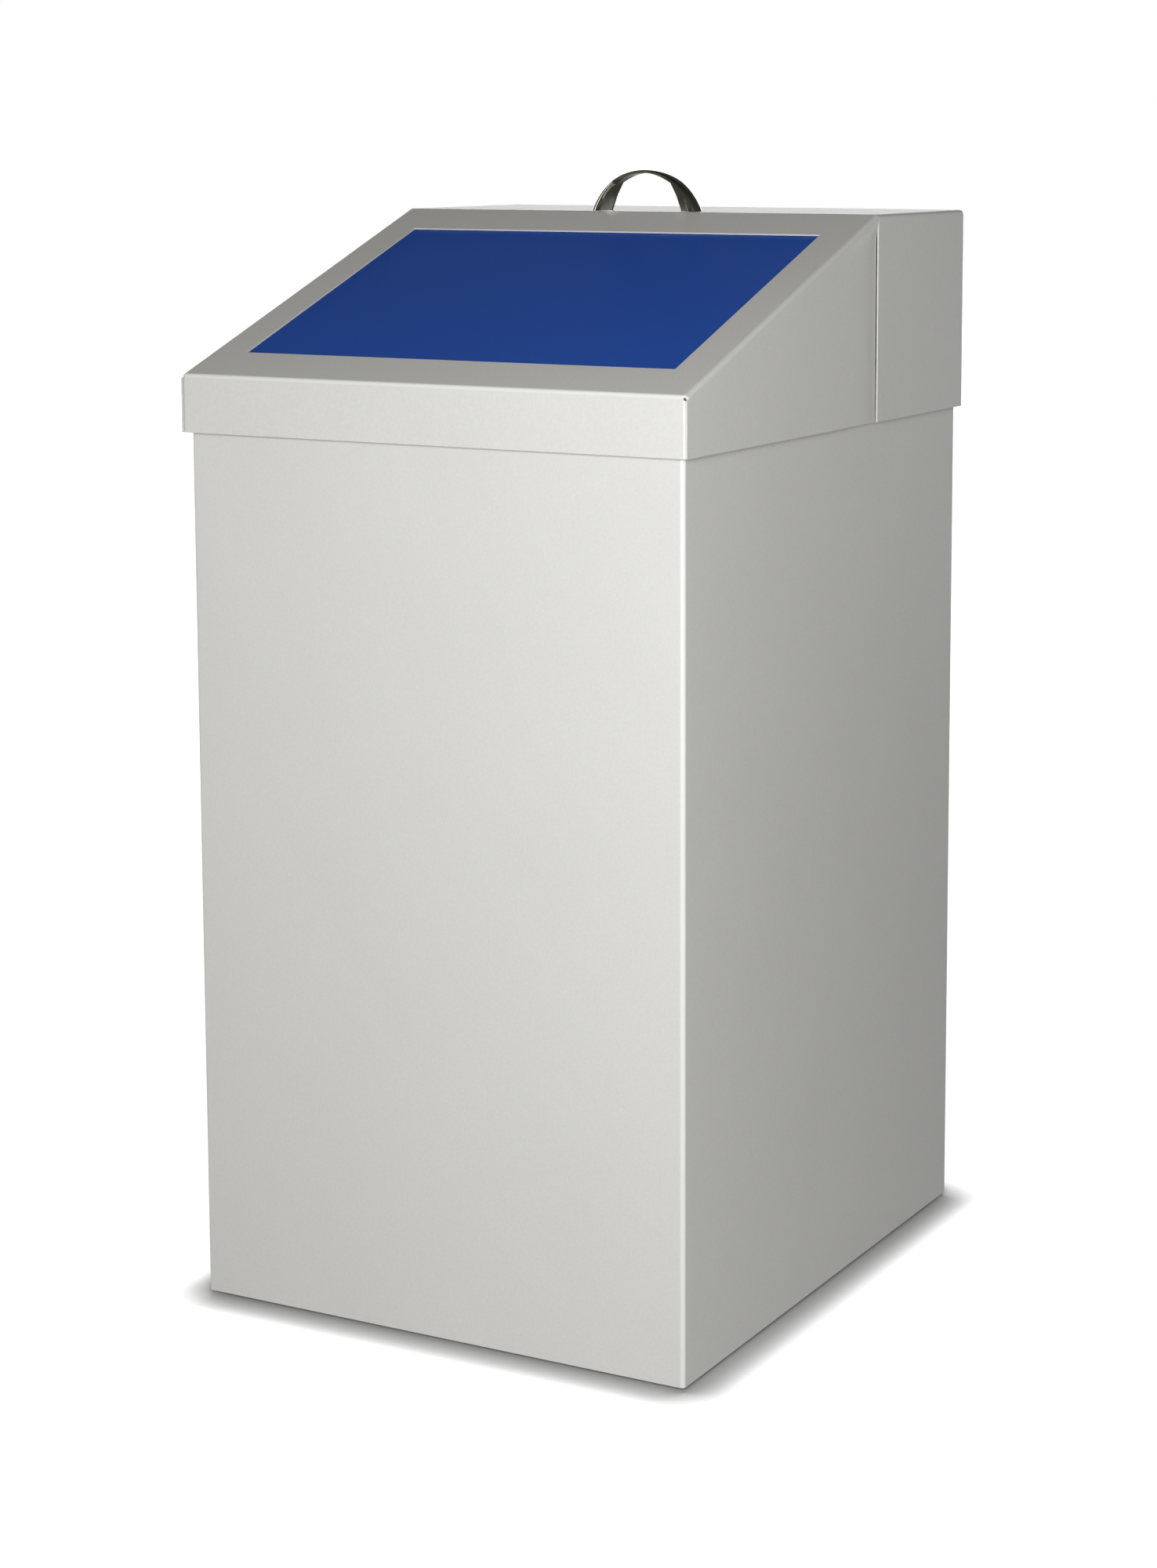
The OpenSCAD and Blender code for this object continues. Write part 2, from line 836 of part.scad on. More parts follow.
// A strap rolled into a knuckle around the grip's pin, with a plate on the liner's wall.
module strap_ear() {
    difference() {
        union() {
            translate([liner_inner_x - ear_t, 0, pivot_z - ear_h / 2])
                cube([ear_t, ear_l, ear_h]);
            translate([pivot_x, ear_l, pivot_z])
                forwards(ear_l)
                    circle(knuckle_r);
        }
        translate([pivot_x, ear_l + past, pivot_z])
            forwards(ear_l + 2 * past)
                circle(knuckle_inner_r);
        translate([0, -ear_y, 0])
            rivet_places()
                translate([0, 0, -ear_t - past])
                    cylinder(h = ear_t + 2 * past, d = rivet_d + 2 * fixing_fit);
    }
}

module strap_ears() {
    color(galvanised)
        for (side = [0, 1])
            mirror([0, side, 0])
                translate([0, ear_y, 0])
                    strap_ear();
}

module strap_ears_right() {
    strap_ears();
}

module strap_ears_left() {
    mirror([1, 0, 0])
        strap_ears();
}

// Blind rivets: a domed head inside, a shank through ear and wall, a set tail outside.
module ear_rivets() {
    head_h = 0.3 * rivet_d;
    color(bright_steel)
        both_sides()
            rivet_places() {
                translate([0, 0, -ear_t])
                    cylinder(h = ear_t + liner_t, d = rivet_d);
                translate([0, 0, -ear_t - head_h])
                    cylinder(h = head_h, d1 = 1.4 * rivet_d, d2 = 2 * rivet_d);
                translate([0, 0, liner_t])
                    cylinder(h = head_h, d1 = 1.5 * rivet_d, d2 = 1.2 * rivet_d);
            }
}

// ---------------------------------------------------------------- wire grips

// A quarter bend of wire about Z, from +X to +Y.
module wire_bend(r) {
    rotate_extrude(angle = 90)
        translate([r, 0])
            circle(d = wire_d);
}

// Half of a grip in the plane of Y and Z, with its pivot axis along Y at the origin.
module half_grip() {
    leg_y = grip_w / 2;
    leg_l = grip_drop - pin_bend_r - grip_bend_r;
    pin_end_proud = 2.5;
    pin_l = ear_bend_gap + ear_l + pin_end_proud;
    // The pin along the pivot axis
    translate([0, leg_y + pin_bend_r, 0])
        rotate([-90, 0, 0])
            cylinder(h = pin_l, d = wire_d);
    // The bend from the pin down into the leg
    translate([0, leg_y + pin_bend_r, -pin_bend_r])
        rotate([90, 0, 90])
            rotate([0, 0, 90])
                wire_bend(pin_bend_r);
    translate([0, leg_y, -pin_bend_r - leg_l])
        cylinder(h = leg_l, d = wire_d);
    // The bend from the leg into the bar
    translate([0, leg_y - grip_bend_r, grip_bend_r - grip_drop])
        rotate([90, 0, 90])
            rotate([0, 0, -90])
                wire_bend(grip_bend_r);
    translate([0, 0, -grip_drop])
        rotate([-90, 0, 0])
            cylinder(h = leg_y - grip_bend_r, d = wire_d);
}

module grip() {
    color(bright_steel)
        translate([pivot_x, 0, pivot_z]) {
            half_grip();
            mirror([0, 1, 0])
                half_grip();
        }
}

module grip_right() {
    grip();
}

module grip_left() {
    mirror([1, 0, 0])
        grip();
}

body_shell();
rear_panel();
base_pan();
foot_pads();
hood_shell();
ledge_left();
ledge_right();
ledge_rear();
hinge_bracket_left();
hinge_bracket_right();
hinge_rod();
rod_clips();
torsion_spring_left();
torsion_spring_right();
bow_handle();
handle_screws();
handle_washers();
flap_panel();
flap_bush_left();
flap_bush_right();
liner_shell();
liner_base();
drop_mat();
strap_ears_left();
strap_ears_right();
ear_rivets();
grip_left();
grip_right();
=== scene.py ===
# %% [markdown]
# # A deposit bin of folded sheet steel
# The bin is a tall case, a lift-off hood with a sloping front, a blue flap in the slope, a chrome
# bow handle and a galvanised liner inside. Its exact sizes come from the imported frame, so this
# notebook only gives the pieces their finish, and makes new surfaces where a folded, drawn or
# moulded piece is rounder than the frame's plain solid.

# %% Load the frame
import json
import math

import bmesh
import bpy
import numpy as np
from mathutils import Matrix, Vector


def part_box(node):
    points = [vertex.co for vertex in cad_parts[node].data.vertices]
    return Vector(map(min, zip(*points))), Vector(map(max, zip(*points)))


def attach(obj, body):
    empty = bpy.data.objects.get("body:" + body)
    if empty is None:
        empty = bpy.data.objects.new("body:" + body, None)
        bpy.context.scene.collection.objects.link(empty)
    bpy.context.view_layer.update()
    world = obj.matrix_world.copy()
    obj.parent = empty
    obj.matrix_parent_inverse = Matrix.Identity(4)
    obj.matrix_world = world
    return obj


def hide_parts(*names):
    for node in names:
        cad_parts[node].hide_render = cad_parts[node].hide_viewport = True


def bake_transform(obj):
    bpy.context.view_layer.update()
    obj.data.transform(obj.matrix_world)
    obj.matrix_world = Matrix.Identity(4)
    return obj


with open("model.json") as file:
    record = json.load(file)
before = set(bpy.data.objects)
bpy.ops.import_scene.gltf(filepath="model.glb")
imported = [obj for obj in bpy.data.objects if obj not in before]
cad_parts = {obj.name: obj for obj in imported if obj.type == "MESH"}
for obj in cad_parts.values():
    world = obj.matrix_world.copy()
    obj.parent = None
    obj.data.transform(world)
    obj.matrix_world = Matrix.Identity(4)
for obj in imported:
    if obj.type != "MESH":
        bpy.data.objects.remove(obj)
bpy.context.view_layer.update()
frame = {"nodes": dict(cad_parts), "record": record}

nodes = frame["nodes"]

# %% [markdown]
# ## Working with whole arrays
# Every new piece is one or more grids of points. A grid is a function of two parameters, so its
# quads follow from its shape alone. Grids that share an edge are welded by rounding their points
# to a ten-thousandth of a millimetre, which keeps a folded sheet in one skin from edge to edge.
# It could be modelled by hand with extrusions, but then each size would be typed in many times.

# %% Grids, welding and making a piece
MM = 0.001
WELD = 1e-7
SMOOTH_UP_TO = 35
CUT_EDGE_FROM = 50
deg = np.radians


def grid(points, keep=None, loop_u=False, loop_v=False, flip=False, fold=None):
    """A grid of points, shaped (n, m, 3), as (points, quads, fold). A quad joins a point to the next
    ones in u and v and faces along du x dv. keep says which cells stay, and a loop joins the last
    row to the first. fold is 1 where the sheet is bent and 0 where it is flat."""
    n, m = points.shape[:2]
    index = np.arange(n * m).reshape(n, m)
    index = np.vstack([index, index[:1]]) if loop_u else index
    index = np.hstack([index, index[:, :1]]) if loop_v else index
    quads = np.stack([index[:-1, :-1], index[1:, :-1], index[1:, 1:], index[:-1, 1:]], -1)
    quads = quads.reshape(-1, 4) if keep is None else quads[keep]
    fold = np.zeros((n, m)) if fold is None else np.broadcast_to(fold, (n, m))
    return points.reshape(-1, 3), quads[:, ::-1] if flip else quads, fold.ravel()


def welded(parts):
    """Joins grids into one set of points and faces. Points in one place become one point, and a
    quad with two corners in one place becomes a triangle."""
    offsets = np.cumsum([0] + [len(p[0]) for p in parts[:-1]])
    points = np.vstack([p[0] for p in parts])
    quads = np.vstack([p[1] + o for p, o in zip(parts, offsets)])
    fold = np.concatenate([p[2] for p in parts])
    _, first, back = np.unique(np.round(points / WELD / 10).astype(np.int64), axis=0,
                               return_index=True, return_inverse=True)
    quads = back.ravel()[quads]
    same = quads == np.roll(quads, -1, axis=1)
    count = same.sum(1)
    faces = quads[count == 0].tolist()
    for corner in range(4):
        faces += np.delete(quads[(count == 1) & same[:, corner]], corner, axis=1).tolist()
    used = np.unique(quads[count < 2])
    renumber = np.full(len(first), -1)
    renumber[used] = np.arange(len(used))
    faces = [[int(renumber[i]) for i in f] for f in faces]
    return points[first][used], faces, fold[first][used]


def face_outwards(mesh):
    """Turns every face of a closed solid outwards. A skin with open edges keeps the sides that its
    grids gave it."""
    faces = bmesh.new()
    faces.from_mesh(mesh)
    if all(edge.is_manifold for edge in faces.edges):
        bmesh.ops.recalc_face_normals(faces, faces=faces.faces[:])
        faces.to_mesh(mesh)
    else:
        print(mesh.name, "has", sum(edge.is_boundary for edge in faces.edges), "open edges")
    faces.free()


def piece(name, parts, finish, body, *stands_for):
    """A mesh object from grids, with its finish, riding on a body in place of the named nodes."""
    points, faces, fold = welded(parts)
    mesh = bpy.data.meshes.new(name)
    mesh.from_pydata(points.tolist(), [], faces)
    # The fold number also sets where the powder coat paints its highlight on the bends.
    mesh.attributes.new("fold", "FLOAT", "POINT").data.foreach_set("value", fold)
    face_outwards(mesh)
    mesh.shade_smooth()
    mesh.set_sharp_from_angle(angle=deg(SMOOTH_UP_TO))
    mesh.materials.append(finish)
    obj = bpy.data.objects.new(name, mesh)
    bpy.context.scene.collection.objects.link(obj)
    if body:
        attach(obj, body)
    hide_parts(*stands_for)
    print(f"{name}: {len(points)} points, {len(faces)} faces, on {body}")
    return obj


def bevelled(obj, edge, segments):
    """A fine bevel, edge wide, on every edge that is as sharp as a cut."""
    bevel = obj.modifiers.new("broken edges", "BEVEL")
    bevel.width = edge
    bevel.segments = segments
    bevel.limit_method = "ANGLE"
    bevel.angle_limit = deg(CUT_EDGE_FROM)


def broken_edges(obj, edge=0.15 * MM):
    """Rounds the cut edges by a hair, and keeps the flats flat in the light."""
    bevelled(obj, edge, 2)
    level = obj.modifiers.new("flat normals", "WEIGHTED_NORMAL")
    level.keep_sharp = False
    level.weight = 80


def sheet_metal(obj, thickness):
    """Gives a skin its wall, inwards, and breaks its cut edges."""
    wall = obj.modifiers.new("wall", "SOLIDIFY")
    wall.thickness = thickness
    wall.offset = -1
    wall.use_even_offset = False
    broken_edges(obj)


def smoothstep(x):
    """0 below 0, 1 above 1, and an even S between."""
    x = np.clip(x, 0, 1)
    return x * x * (3 - 2 * x)


def arc(start, end, count):
    """Angles from start to end in degrees, as radians."""
    return deg(np.linspace(start, end, count))


# %% [markdown]
# ## Finishes
# The case and hood are powder coated: a soft gloss over a fine orange peel, with a faint mottle in
# the colour. Each folded skin carries a number, fold, that is 1 on its bends, and there the finish
# paints a highlight as a lighter colour and makes the coat a little glossier. One function wires up
# all the finishes, and each finish only says what differs. Every pattern reads object coordinates in
# metres, so its scale is a real size and it stays with the piece.

# %% A recipe for a finish
def new_finish(name, slot, metallic, ior=1.5, coat=0.0, coat_roughness=0.1):
    """An empty finish with its shader, and a small kit that adds nodes to it."""
    material = bpy.data.materials.new(name)
    material.use_nodes = True
    material["slot"] = slot
    tree = material.node_tree
    shader = tree.nodes["Principled BSDF"]
    shader.inputs["Metallic"].default_value = metallic
    shader.inputs["IOR"].default_value = ior
    shader.inputs["Coat Weight"].default_value = coat
    shader.inputs["Coat Roughness"].default_value = coat_roughness
    place = tree.nodes.new("ShaderNodeTexCoord").outputs["Object"]
    return material, tree, shader, place


def noise(tree, place, grain, detail=2.0, stretch=None, rough=0.5):
    """A noise whose lumps are about grain metres across, drawn out by stretch along X, Y and Z."""
    if stretch:
        mapping = tree.nodes.new("ShaderNodeMapping")
        mapping.inputs["Scale"].default_value = stretch
        tree.links.new(place, mapping.inputs["Vector"])
        place = mapping.outputs["Vector"]
    node = tree.nodes.new("ShaderNodeTexNoise")
    node.inputs["Scale"].default_value = 1 / grain
    node.inputs["Detail"].default_value = detail
    node.inputs["Roughness"].default_value = rough
    tree.links.new(place, node.inputs["Vector"])
    return node.outputs["Fac"]


def blend_colour(tree, amount, low, high):
    """A colour that goes from low to high as amount goes from 0 to 1."""
    node = tree.nodes.new("ShaderNodeMix")
    node.data_type = "RGBA"
    tree.links.new(amount, node.inputs[0])
    for socket, value in ((node.inputs[6], low), (node.inputs[7], high)):
        if isinstance(value, tuple):
            socket.default_value = (*value, 1)
        else:
            tree.links.new(value, socket)
    return node.outputs[2]


def ranged(tree, value, from_low, from_high, to_low, to_high):
    """A number moved from one range to another and held inside it."""
    node = tree.nodes.new("ShaderNodeMapRange")
    for name, number in zip(("From Min", "From Max", "To Min", "To Max"),
                            (from_low, from_high, to_low, to_high)):
        node.inputs[name].default_value = number
    tree.links.new(value, node.inputs["Value"])
    return node.outputs["Result"]


def relief(tree, shader, height, depth, strength=1.0, under=None):
    """Bumps of a depth in metres, over any bumps already made."""
    node = tree.nodes.new("ShaderNodeBump")
    node.inputs["Strength"].default_value = strength
    node.inputs["Distance"].default_value = depth
    tree.links.new(height, node.inputs["Height"])
    if under:
        tree.links.new(under, node.inputs["Normal"])
    tree.links.new(node.outputs["Normal"], shader.inputs["Normal"])
    return node.outputs["Normal"]


# %% Powder coat, silver and blue
MOTTLE_GRAIN = 1.6 * MM
CLOUD_GRAIN = 90 * MM
PEEL_GRAIN = 1.1 * MM
MOTTLE_SHARE, CLOUD_SHARE = 0.6, 0.4
FOLD_ROUGHNESS = 0.75


def powder_coat(name, slot, low, high, fold_highlight, roughness, peel, coat=0.08, gloss=0.45):
    """Two close tones, blended by the mottle's share plus the cloud's share, an orange peel, and on
    the folds a painted highlight, a lighter colour, over a smoother coat."""
    material, tree, shader, place = new_finish(name, slot, metallic=0.0, coat=coat, coat_roughness=0.25)
    shader.inputs["Specular IOR Level"].default_value = gloss
    fine = noise(tree, place, MOTTLE_GRAIN, detail=3)
    cloud = noise(tree, place, CLOUD_GRAIN, detail=1)
    mottle = tree.nodes.new("ShaderNodeMath")
    mottle.operation = "MULTIPLY_ADD"
    mottle.use_clamp = True
    tree.links.new(cloud, mottle.inputs[0])
    mottle.inputs[1].default_value = CLOUD_SHARE
    tree.links.new(ranged(tree, fine, 0.3, 0.7, 0, MOTTLE_SHARE), mottle.inputs[2])
    colour = blend_colour(tree, mottle.outputs[0], low, high)
    fold = tree.nodes.new("ShaderNodeAttribute")
    fold.attribute_name = "fold"
    # Painted highlight: on the folds the colour is blended towards the lighter fold_highlight.
    paint = blend_colour(tree, fold.outputs["Fac"], colour, fold_highlight)
    tree.links.new(paint, shader.inputs["Base Color"])
    rough = ranged(tree, fold.outputs["Fac"], 0, 1, roughness, FOLD_ROUGHNESS * roughness)
    tree.links.new(rough, shader.inputs["Roughness"])
    relief(tree, shader, noise(tree, place, PEEL_GRAIN, detail=1), peel, 0.5)
    return material


# fold_highlight is the painted highlight colour of each coat's bends.
silver_paint = powder_coat("silver_paint", "silver_paint",
                           low=(0.585, 0.582, 0.555), high=(0.640, 0.637, 0.612), fold_highlight=(0.74, 0.74, 0.72),
                           roughness=0.42, peel=0.03 * MM)
blue_paint = powder_coat("blue_paint", "blue_paint",
                         low=(0.009, 0.070, 0.39), high=(0.011, 0.078, 0.42), fold_highlight=(0.02, 0.085, 0.44),
                         roughness=0.5, peel=0.015 * MM, coat=0.0, gloss=0.2)
print("powder coats:", silver_paint.name, blue_paint.name)

# %% [markdown]
# Galvanised sheet shows its zinc as a spangle of flat crystals, so a cell pattern gives each
# crystal its own brightness and gloss. The springs, rod, grips and small fixings are bright steel
# with fine drawing marks, and the bow handle is polished chrome over a cast body. The mat and
# pads are moulded rubber and the bushes are nylon.

# %% Zinc, steel, chrome, rubber and nylon
CRYSTAL = 9 * MM


def galvanised_sheet():
    """Each crystal is a cell with its own random colour: one channel of it picks the crystal's
    brightness and another its roughness."""
    material, tree, shader, place = new_finish("galvanised", "galvanised", metallic=0.85)
    crystals = tree.nodes.new("ShaderNodeTexVoronoi")
    crystals.inputs["Scale"].default_value = 1 / CRYSTAL
    tree.links.new(place, crystals.inputs["Vector"])
    face = tree.nodes.new("ShaderNodeSeparateColor")
    tree.links.new(crystals.outputs["Color"], face.inputs["Color"])
    zinc = blend_colour(tree, face.outputs[0], (0.46, 0.48, 0.49), (0.62, 0.64, 0.65))
    tree.links.new(zinc, shader.inputs["Base Color"])
    tree.links.new(ranged(tree, face.outputs[1], 0, 1, 0.34, 0.5), shader.inputs["Roughness"])
    relief(tree, shader, noise(tree, place, 2.5 * MM, detail=2), 0.02 * MM, 0.5)
    return material


def drawn_metal(name, slot, low, high, rough_low, rough_high, grain, stretch, depth):
    """Bare metal whose drawing marks are one noise, which sets its tone, its gloss and its relief."""
    material, tree, shader, place = new_finish(name, slot, metallic=1.0)
    marks = noise(tree, place, grain, detail=3, stretch=stretch)
    tree.links.new(blend_colour(tree, marks, low, high), shader.inputs["Base Color"])
    tree.links.new(ranged(tree, marks, 0.3, 0.7, rough_low, rough_high), shader.inputs["Roughness"])
    relief(tree, shader, marks, depth, 0.4)
    return material


def moulded(name, slot, low, high, roughness, grain, depth):
    """Rubber or plastic whose cells are one noise, which sets its tone, its gloss and its relief."""
    material, tree, shader, place = new_finish(name, slot, metallic=0.0)
    cells = noise(tree, place, grain, detail=3)
    tree.links.new(blend_colour(tree, cells, low, high), shader.inputs["Base Color"])
    rough = ranged(tree, cells, 0.3, 0.7, roughness - 0.06, roughness + 0.06)
    tree.links.new(rough, shader.inputs["Roughness"])
    relief(tree, shader, cells, depth, 0.6)
    return material


galvanised = galvanised_sheet()
bright_steel = drawn_metal("bright_steel", "bright_steel", low=(0.50, 0.50, 0.51), high=(0.68, 0.68, 0.69),
                           rough_low=0.24, rough_high=0.36, grain=1.2 * MM, stretch=(1, 1, 0.25),
                           depth=0.01 * MM)
chrome = drawn_metal("chrome", "chrome", low=(0.22, 0.215, 0.185), high=(0.28, 0.275, 0.235),
                     rough_low=0.03, rough_high=0.06, grain=4 * MM, stretch=None, depth=0.002 * MM)
rubber = moulded("rubber", "rubber", low=(0.018, 0.018, 0.018), high=(0.034, 0.034, 0.033),
                 roughness=0.7, grain=1.5 * MM, depth=0.05 * MM)
nylon = moulded("nylon", "nylon", low=(0.70, 0.68, 0.60), high=(0.78, 0.76, 0.69),
                roughness=0.42, grain=3 * MM, depth=0.01 * MM)
made = (silver_paint, blue_paint, galvanised, bright_steel, chrome, rubber, nylon)
finishes = {material["slot"]: material for material in made}
print("finishes:", sorted(finishes))

# %% Every frame node takes its finish
for part in frame["record"]["subparts"]:
    mesh = nodes[part["node"]].data
    mesh.materials.clear()
    mesh.materials.append(finishes[part["material_slot"]])

# %% [markdown]
# ## The case
# One sheet wraps the front and both sides and turns in behind at two flanges. Its four upright
# corners are press-brake bends, and its rim is doubled by a flat hem that stops short of the
# bends, as a hem must. The plan is a line of straights and arcs, and a section of the sheet's
# wall is carried along it, so the bends are truly round.

# %% The case's wrap
body_low, body_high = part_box("body_shell")
half_w, half_d = body_high[0], body_high[1]
base_z, rim_z = body_low[2], body_high[2]
SHEET = 1.0 * MM
BODY_BEND = 2.8 * MM
BEND_STEPS = 13
FLANGE = 16 * MM
HEM = 10 * MM
HEM_SUNK = 0.2 * MM


def case_plan():
    """The wrap's outer line seen from above, from the left flange's end round the front to the right
    flange's end: points, outward normals, and 1 on the bends. Each bend is a quarter circle."""
    corners = ((-1, 1, 90), (-1, -1, 180), (1, -1, 270), (1, 1, 0))
    points, normals, fold = [[-half_w + FLANGE, half_d]], [[0.0, 1.0]], [0.0]
    for sx, sy, start in corners:
        turn = arc(start, start + 90, BEND_STEPS)
        n = np.stack([np.cos(turn), np.sin(turn)], 1)
        centre = np.array([sx * (half_w - BODY_BEND), sy * (half_d - BODY_BEND)])
        points += (centre + BODY_BEND * n).tolist()
        normals += n.tolist()
        fold += np.sin(np.linspace(0, np.pi, BEND_STEPS)).tolist()
    points.append([half_w - FLANGE, half_d])
    normals.append([0.0, 1.0])
    return np.array(points), np.array(normals), np.array(fold + [0.0])


def wall_between(points, normals, fold, low, high, thickness):
    """A closed wall: a rectangle, thickness deep, carried along the plan from height low to high."""
    deep = np.array([0, 0, thickness, thickness, 0])[None, :, None]
    level = np.array([low, high, high, low, low])[None, :]
    xy = points[:, None, :] - deep * normals[:, None, :]
    ring = np.concatenate([xy, np.broadcast_to(level, xy.shape[:2])[:, :, None]], 2)
    parts = [grid(ring, flip=True, fold=np.broadcast_to(fold[:, None], ring.shape[:2]))]
    for end, flip in ((ring[0], False), (ring[-1], True)):
        parts.append(grid(end[[0, 1, 3, 2]].reshape(2, 2, 3), flip=flip))
    return parts


def hem_strip(start, end, inward):
    """The rim's hem along a straight: from a hair below the sheet's top edge it rolls over a half
    circle, one sheet in radius, and runs down flat against the inner face."""
    roll = arc(0, 180, 9)
    sunk = rim_z - SHEET - HEM_SUNK
    deep = np.concatenate([[0], SHEET - SHEET * np.cos(roll), [2 * SHEET, SHEET, SHEET, 0]])
    level = np.concatenate([[sunk], rim_z - SHEET + SHEET * np.sin(roll),
                            [rim_z - HEM, rim_z - HEM, sunk, sunk]])
    ends = np.array([start, end])[:, None, :] + deep[None, :, None] * np.array(inward)
    ring = np.concatenate([ends, np.broadcast_to(level, ends.shape[:2])[:, :, None]], 2)
    middle = ring.mean(1, keepdims=True)
    caps = [grid(np.stack([np.broadcast_to(m, r.shape), r]), flip=f)
            for m, r, f in ((middle[0], ring[0], False), (middle[1], ring[1], True))]
    # The hem's grid carries 0.6 of the fold number, so the whole hem takes part of the painted highlight.
    return [grid(ring, flip=True, fold=0.6)] + caps


plan, plan_normals, plan_fold = case_plan()
wrap = wall_between(plan, plan_normals, plan_fold, base_z, rim_z - SHEET, SHEET)
hem_x, hem_y = half_w - BODY_BEND - SHEET, half_d - BODY_BEND - SHEET
wrap += hem_strip((-half_w, hem_y), (-half_w, -hem_y), (1, 0))
wrap += hem_strip((-hem_x, -half_d), (hem_x, -half_d), (0, 1))
wrap += hem_strip((half_w, -hem_y), (half_w, hem_y), (-1, 0))
case_wrap = piece("case_wrap", wrap, silver_paint, "case", "body_shell")
broken_edges(case_wrap)

# %% [markdown]
# ## The hood
# The hood is one folded blank. Seen from the side its outer face is a line: up the front skirt,
# round the front fold, up the slope, over the top and down the rear. Seen from the front it is
# flat with a bend to each cheek. Carrying the second shape along the first gives the whole crown
# in one grid, and where two bends meet the corner comes out as part of a ball. The cheeks are
# flat grids whose upper edge is the crown's own edge, so they weld to it. The wall's thickness
# comes last, which also gives the cut edges of the opening and of the open joints their width.

# %% The hood's sizes
hood_low, hood_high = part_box("hood_shell")
hood_w2, hood_d2, skirt_z, top_z = hood_high[0], hood_high[1], hood_low[2], hood_high[2]
HOOD_BEND = 3 * MM
SLOPE_RUN = 258.5 * MM
SLOPE_RISE = 95 * MM
slope = math.atan2(SLOPE_RISE, SLOPE_RUN)
slope_l = math.hypot(SLOPE_RISE, SLOPE_RUN)
top_fold_y = SLOPE_RUN - hood_d2
front_fold_z = top_z - SLOPE_RISE
OPENING_X = 149 * MM
OPENING_NEAR = 35 * MM
OPENING_FAR = slope_l - OPENING_NEAR
OPENING_R = 0.8 * MM
JOINT = 0.35 * MM
fold_y = -hood_d2 + HOOD_BEND
front_run_out = HOOD_BEND * math.tan((math.pi / 2 - slope) / 2)
fold_z = front_fold_z - front_run_out
crown_y = top_fold_y + HOOD_BEND * math.tan(slope / 2)
seam_t = HOOD_BEND * math.tan(slope)
WELDS = [(side * 164.5 * MM, t) for side in (-1, 1) for t in (12 * MM, 38 * MM)]
WELD_R = 1.8 * MM
WELD_DEPTH = 0.16 * MM
RELIEF_R = 0.85 * MM
RELIEF_X = hood_w2 - 1.7 * MM
RELIEF_Z = fold_z + 0.55 * MM
SKIRT_TURN = math.degrees(math.asin((HOOD_BEND - SHEET - 0.9 * JOINT) / HOOD_BEND))
skirt_rows = np.concatenate([np.linspace(skirt_z, fold_z - 4 * MM, 7),
                             np.linspace(fold_z - 3 * MM, fold_z, 7)[:-1]])
print("slope", round(math.degrees(slope), 2), "degrees, front fold at", round(front_fold_z, 4))


# %% The hood's two guiding lines
def near(places, reach=4 * MM, count=9):
    """Extra grid lines close to some places, for the small marks there."""
    return np.concatenate([np.linspace(p - reach, p + reach, count) for p in places])


def hood_line():
    """The side view of the outer face, one row a point: y, z, the outward normal's y and z, 1 on the
    folds, and the distance t down the slope from the top fold, where the point is on the slope. A
    fold is an arc whose angle goes from 0, facing front, through 90, facing up, to 180, facing back."""
    front_turn = math.degrees(math.pi / 2 - slope)
    rows = []

    def add(y, z, angle, fold=0.0, t=np.nan):
        """Adds rows whose normal is (-cos angle, sin angle)."""
        y, z, angle, fold, t = np.broadcast_arrays(y, z, angle, fold, t)
        rows.append(np.stack([y, z, -np.cos(angle), np.sin(angle), fold, t], 1))

    add(-hood_d2, skirt_rows, 0.0)
    round_fold = np.sin(np.linspace(0, np.pi, BEND_STEPS))
    a = arc(0, front_turn, BEND_STEPS)
    add(fold_y - HOOD_BEND * np.cos(a), fold_z + HOOD_BEND * np.sin(a), a, round_fold)
    front_t = slope_l - front_run_out
    t = np.concatenate([np.linspace(front_t - 4 * MM, 20 * MM, 30), [OPENING_FAR, OPENING_FAR - OPENING_R],
                        [OPENING_NEAR, OPENING_NEAR + OPENING_R], near([w[1] for w in WELDS[:2]]),
                        [5 * MM, 2.5 * MM, seam_t]])
    t = np.unique(np.round(t, 7))[::-1]
    add(top_fold_y - t * math.cos(slope), top_z - t * math.sin(slope), deg(front_turn), 0.0, t)
    a = arc(front_turn, 90, 5)
    add(crown_y - HOOD_BEND * np.cos(a), top_z - HOOD_BEND + HOOD_BEND * np.sin(a), a,
        np.sin(np.linspace(0, np.pi, 5)))
    add(np.linspace(crown_y + 2 * MM, hood_d2 - HOOD_BEND - 2 * MM, 12), top_z, deg(90))
    a = arc(90, 180, BEND_STEPS)
    add(hood_d2 - HOOD_BEND - HOOD_BEND * np.cos(a), top_z - HOOD_BEND + HOOD_BEND * np.sin(a), a,
        round_fold)
    z = skirt_z + cheek_rows()[::-1][1:] * (top_z - HOOD_BEND - skirt_z)
    add(hood_d2, z, deg(180))
    return np.vstack(rows)


def cheek_rows():
    """Heights of a cheek's grid lines, from 0 at the lower edge to 1 at the bend, close together
    near the weld mark and near the relief hole at the top."""
    return np.unique(np.concatenate([np.linspace(0, 1, 22), np.linspace(0.965, 1, 15),
                                     np.linspace(0.42, 0.68, 21)]))


